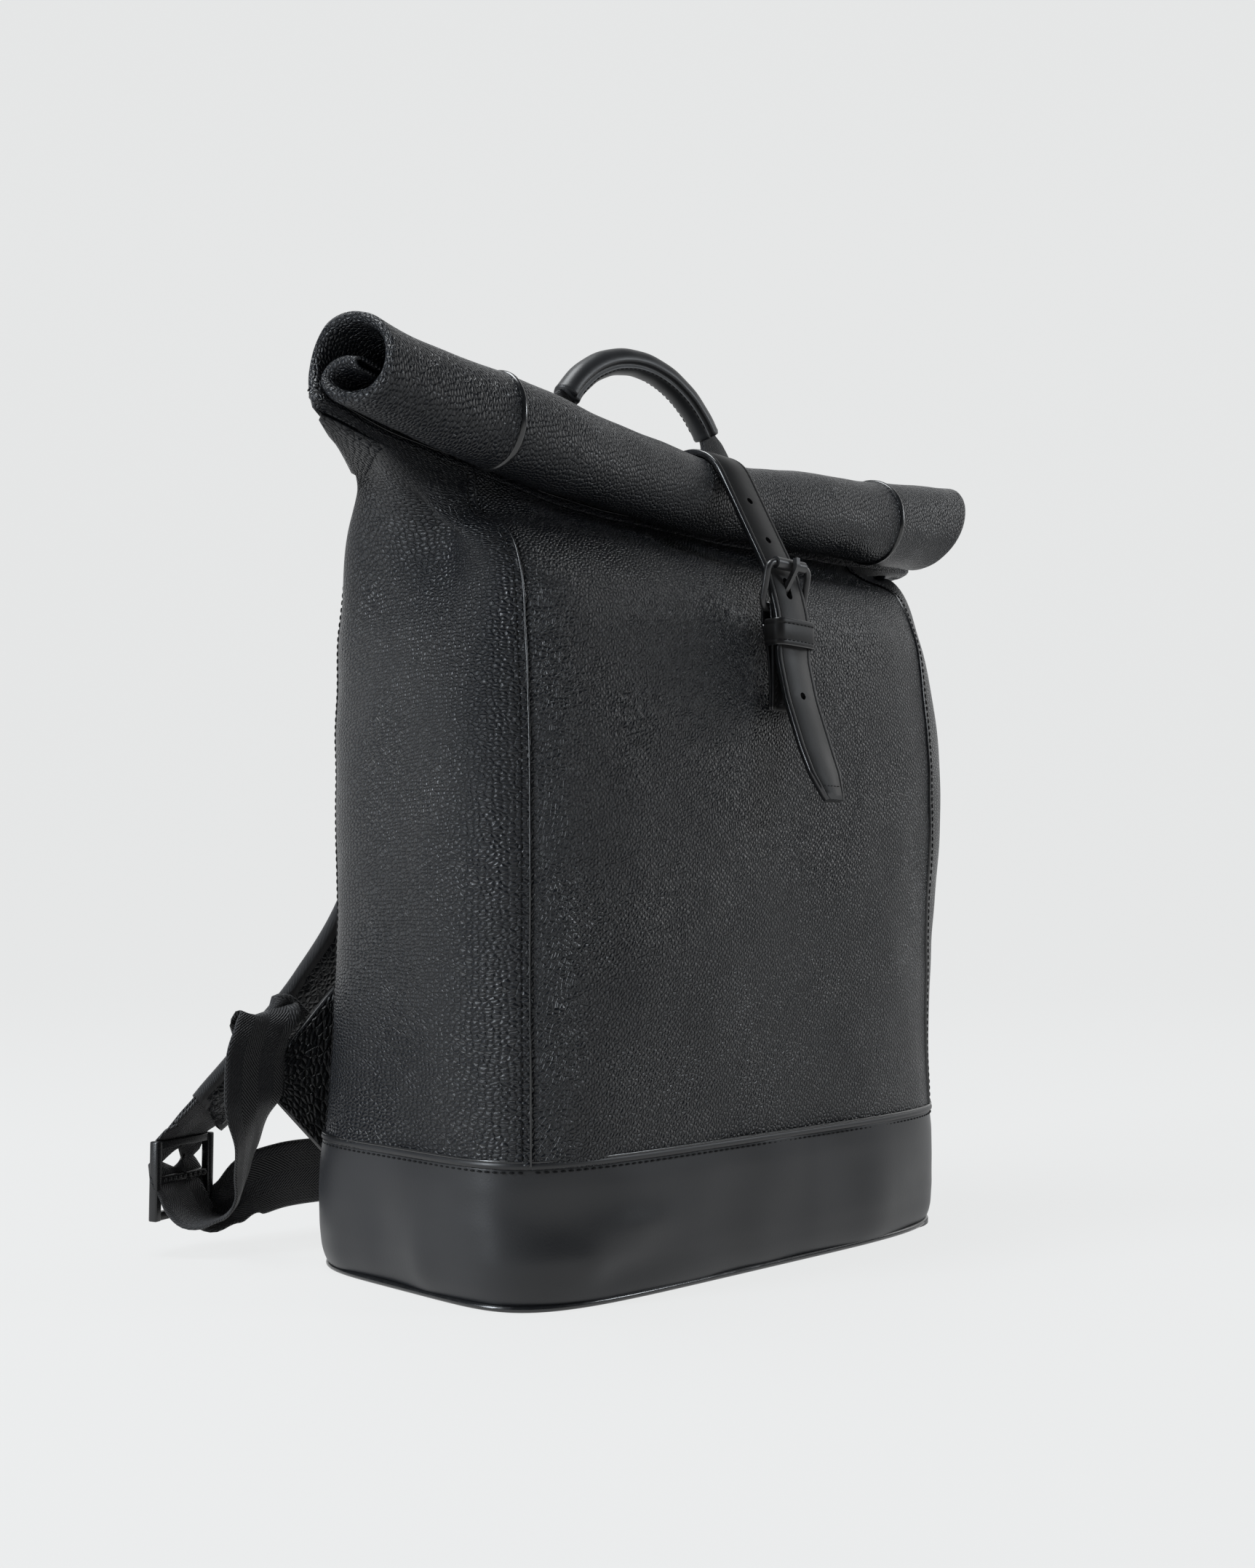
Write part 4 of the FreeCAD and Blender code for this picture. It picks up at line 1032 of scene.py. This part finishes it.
# lower webbing: out of the tab, turned over, down the side and round the adjuster's middle bar
WEB = [((-139, 88.2, 96.0), (10.3, 0, 10.8)), ((-146, 88.4, 103), (11, 0, 9)),
       ((-151, 88.6, 104.6), (15.0, 0.3, 5.5)), ((-153, 87.9, 105.8), (16.2, 0, 4.2)),
       ((-153.4, 85.6, 106.8), (16.4, 0, 4)), ((-153.6, 83.0, 105.4), (16.3, 0, 3.6)),
       ((-156.4, 81.9, 99), (15.8, 0, 1.6)), ((-159.6, 81.6, 90), (15.2, 0, 0.3)), ((-160.5, 81.6, 80), (15, 0, 0)),
       ((-160.4, 82.2, 68), (14.8, 1.2, 0)), ((-157.6, 88, 55), (12.4, 8.0, 0)), ((-153.6, 98, 40), (10.8, 10.4, 0)),
       ((-152, 104.5, 28), (9.0, 11.8, 0)), ((-154, 109, 18.5), (9.6, 11.2, 0)),
       ((-158.5, 113.5, 14), (12.2, 8.4, 0)), ((-163.5, 118.5, 14.6), (13.8, 5.8, 0)),
       ((-166.4, 123.2, 19.5), FLAT), ((-168.4, 127.0, 26.5), FLAT),
       ((-170.4, 129.6, 31.5), FLAT), ((-170.6, 131.4, 35.2), FLAT), ((-167.4, 134.4, 36.2), FLAT),
       ((-164.6, 134.8, 33.0), FLAT), ((-162.4, 132.8, 27.0), FLAT), ((-158.6, 129.6, 19.0), (13.4, 6.8, 0.6)),
       ((-152.0, 128.8, 14.8), (9.8, 9.0, 6.4)), ((-144, 127.4, 18.0), (4.6, 6.6, 12.4)),
       ((-135, 125.0, 24.5), (0.4, 3.4, 14.6)), ((-120, 122, 28.5), (0, 0.8, 15)), ((-98, 121, 29), (0, 0, 15)),
       ((-70, 119, 28), (0, 0, 15))]
both(ribbon("left_lower_webbing_woven", WEB, 1.35, 1.6, wave=0.35, seed=4)[0], "lower_webbing", "webbing_tail",
     bend=((-0.153, 0.083, 0.094), (-0.158, 0.107, 0.024)))


# ladder-lock adjuster
def bevelled_box(bm, low, high, bevel=0.5):
    made = bmesh.ops.create_cube(bm, size=1.0)["verts"]
    lo, hi = np.array(low, float), np.array(high, float)
    for v in made:
        v.co = Vector((lo + hi) / 2 + (hi - lo) * np.array(v.co))
    edges = list({e for v in made for e in v.link_edges})
    bmesh.ops.bevel(bm, geom=edges, offset=bevel, segments=2, profile=0.6, affect="EDGES")


def adjuster():
    bm = bmesh.new()
    for s in (-1, 1):
        bevelled_box(bm, (s * 17.3 - 1.8, -2.4, -17.5), (s * 17.3 + 1.8, 2.0, 17.5), 0.8)
    bevelled_box(bm, (-16, -1.9, 13.8), (16, 1.6, 17.3))
    bevelled_box(bm, (-16, -1.7, -1.7), (16, 1.7, 1.7))
    bevelled_box(bm, (-16, -1.9, -17.3), (16, 1.5, -13.6))
    bevelled_box(bm, (-12, 0.6, -17.0), (12, 4.2, -14.8), 0.9)
    for k in range(9):
        bevelled_box(bm, (-14 + k * 3.3, -2.5, -0.8), (-12.4 + k * 3.3, -1.4, 0.8), 0.25)
    mesh = bpy.data.meshes.new("left_strap_adjuster_plastic")
    turn, place = Matrix.Rotation(math.radians(19), 3, "Z"), Vector((-166, 131, 32.5))
    for v in bm.verts:
        v.co = (turn @ v.co + place) * MM
    bm.to_mesh(mesh)
    bm.free()
    mesh.materials.append(PLASTIC)
    mesh.polygons.foreach_set("use_smooth", [True] * len(mesh.polygons))
    return made_of(link(bpy.data.objects.new("left_strap_adjuster_plastic", mesh)), "black_plastic")


both(adjuster(), "strap_adjuster")


# corner tab: two pebbled layers with a painted edge
def corner_tab():
    point, top, low = np.array([-156.0, 77.0]), np.array([-113.0, 121.5]), np.array([-113.0, 34.5])
    rows = []
    for s in np.concatenate([[0.0, 0.012, 0.03, 0.055], np.linspace(0.09, 1, 34)]):
        start = point + (top + low - 2 * point) / 2 * 0.03
        a, b = start + (low - point) * s, start + (top - point) * s
        spread = 1.7 * min(1, math.sqrt(max(s, 0.002) / 0.055))
        a, b = a - [0, spread], b + [0, spread]
        t = np.concatenate([[0, 0.004], np.linspace(0.02, 0.98, 26), [0.996, 1]])
        width = np.linalg.norm(b - a)
        rim = np.minimum(t, 1 - t) * width
        h = 1.75 * np.sqrt(np.clip(rim / 1.3, 0.02, 1)) * min(1, 0.35 + s * 14)
        ymid = 85.3 - 2.3 * max(0, (s - 0.72) / 0.28) ** 2
        flat = a[None] + (b - a)[None] * t[:, None]
        front = np.column_stack([flat[:, 0], ymid - h, flat[:, 1]])
        back = np.column_stack([flat[:, 0], ymid + h, flat[:, 1]])[::-1]
        rows.append(np.concatenate([front, back]))
    P = np.array(rows)
    flags = [1 if j < 2 or 27 <= j <= 32 or j >= 57 else 0 for j in range(P.shape[1])]
    return made_of(tube("left_corner_tab_leather", P, [GRAIN_TAB, EDGE], None, flags=flags), "grain_leather"), P


tab, TP = corner_tab()
both(tab, "corner_tab", body="bag")
for tag, column in (("upper", 26), ("lower", 3)):
    line = TP[6:-1, column] + [0, -0.1, 0]
    both(stitches(f"left_tab_{tag}_thread", line, np.tile([0, -1.0, 0], (len(line), 1)), None), body="bag")


# ---- back
def frame_of(P):
    """One line round the points just inside the edges of a grid."""
    return np.concatenate([P[1:-1, 1], P[-2, 1:-1], P[1:-1, -2][::-1], P[1, 1:-1][::-1]])


# yoke: a piece of leather laid on the back panel
YOKE_X, YOKE_LOW, YOKE_TOP, YOKE_THICK = 84, 256, 300, 1.8
cols = [c for c in range(COL[3], COL[4] + 1) if -YOKE_X <= S[40, c, 0] <= YOKE_X]
rows = [r for r in range(10, NECK) if YOKE_LOW <= S[r, cols[len(cols) // 2], 2] <= YOKE_TOP]
yoke_normals = N[rows][:, cols]
yoke = S[rows][:, cols] + yoke_normals * YOKE_THICK
made_of(grid("strap_yoke_leather", yoke, SMOOTH, thickness=YOKE_THICK), "smooth_leather", "strap_yoke")
stitches("strap_yoke_leather_thread", frame_of(yoke), frame_of(yoke_normals))

# back pads: three channels side by side
PAD_LOW, PAD_TOP, PAD_Y, PAD_ROUND = 71, 249, 83.4, 9
for place, x0, x1 in (("left", -103, -37), ("middle", -33, 33), ("right", 37, 103)):
    xs, u = np.linspace(x0, x1, 17), np.linspace(-1, 1, 17)
    mid, half = (x0 + x1) / 2, (x1 - x0) / 2
    rows = []
    for z in np.linspace(PAD_LOW, PAD_TOP, 34):
        edge = min(z - PAD_LOW, PAD_TOP - z)
        inset = PAD_ROUND * (1 - math.sqrt(max(0, 1 - (1 - min(edge, PAD_ROUND) / PAD_ROUND) ** 2)))
        x = mid + (xs - mid) * (1 - inset / half)
        h = 0.6 + 2.6 * np.sqrt(np.clip(1 - u ** 6, 0, 1)) * math.sqrt(min(1, edge / 8 + 0.02))
        out, back = [np.column_stack([x, y, np.full(17, z)]) for y in (PAD_Y + h, PAD_Y - h * 0.7)]
        rows.append(np.concatenate([out, back[::-1]]))

    def back_sewn(p, x0=x0, x1=x1):
        return p[1] < PAD_Y - 1 or min(p[0] - x0, x1 - p[0], p[2] - PAD_LOW, PAD_TOP - p[2]) < 5

    piece = cushion(f"back_pad_{place}_padded", np.array(rows), [MESH], "bag", back_sewn, lambda p: 0, 5,
                    "mesh_cloth")
    if place == "middle":
        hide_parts("back_pad")


# ---- floor, light and camera
def studio_sweep():
    """Pale floor that curves up into a wall behind the bag, square to the camera."""
    look = Look("studio_paper")
    paper = look.shade(Base_Color=(0.055, 0.055, 0.056, 1), Roughness=0.9, Specular_IOR_Level=0.0,
                       Emission_Color=(0.99, 1.0, 1.0, 1), Emission_Strength=0.775)
    far, side = np.array([0.7071, 0.7071]), np.array([0.7071, -0.7071])
    bend = [(2.0 + 2.0 * math.sin(q), 2.0 - 2.0 * math.cos(q)) for q in np.linspace(0.05, math.pi / 2, 24)]
    line = [(-6.0, 0.0), (0.0, 0.0), (2.0, 0.0)] + bend + [(4.0, 7.0)]
    rows = [[(*(far * d + side * w) / MM, z / MM) for w in np.linspace(-8, 8, 5)] for d, z in line]
    grid("studio_floor", np.array(rows, float), paper, None)


def area(name, location, target, size, power, colour=(1, 1, 1), size_y=None):
    data = bpy.data.lights.new(name, "AREA")
    data.shape, data.size, data.size_y = "RECTANGLE", size, size_y or size
    data.energy, data.color = power, colour
    obj = link(bpy.data.objects.new(name, data))
    obj.location = location
    obj.rotation_euler = (Vector(target) - Vector(location)).to_track_quat("-Z", "Y").to_euler()


studio_sweep()
area("key", (-1.65, 0.35, 0.75), (-0.1, 0, 0.2), 0.4, 27, (0.88, 0.94, 1.0), 1.1)
area("top", (-0.4, 0.25, 1.9), (0, 0, 0.2), 0.8, 24, (0.95, 0.98, 1.0))
area("front", (1.15, -1.5, 0.95), (0, 0, 0.2), 0.45, 12, (0.9, 0.95, 1.0))
area("right", (1.9, -0.5, 0.9), (0.1, 0, 0.25), 0.8, 3)

world = bpy.data.worlds.new("studio")
bpy.context.scene.world = world
world.use_nodes = True
sky_nodes, sky_links = world.node_tree.nodes, world.node_tree.links
dim = sky_nodes["Background"]
dim.inputs[0].default_value = (0.74, 0.79, 0.88, 1)
dim.inputs[1].default_value = 0.08
pale = sky_nodes.new("ShaderNodeBackground")
pale.inputs[0].default_value = (0.80, 0.81, 0.81, 1)
seen = sky_nodes.new("ShaderNodeLightPath")
either = sky_nodes.new("ShaderNodeMixShader")
sky_links.new(seen.outputs["Is Camera Ray"], either.inputs[0])
sky_links.new(dim.outputs[0], either.inputs[1])
sky_links.new(pale.outputs[0], either.inputs[2])
sky_links.new(either.outputs[0], sky_nodes["World Output"].inputs["Surface"])

camera = link(bpy.data.objects.new("camera", bpy.data.cameras.new("camera")))
camera.location = (-0.57162, -0.5582, 0.15503)      # in front, to the left and below the middle
camera.rotation_euler = (math.radians(94.014), 0, math.radians(-45.018))
camera.data.lens = 38.923
camera.data.sensor_width = 36
camera.data.clip_start, camera.data.clip_end = 0.02, 50
bpy.context.scene.camera = camera
bpy.context.scene.view_settings.view_transform = "Standard"
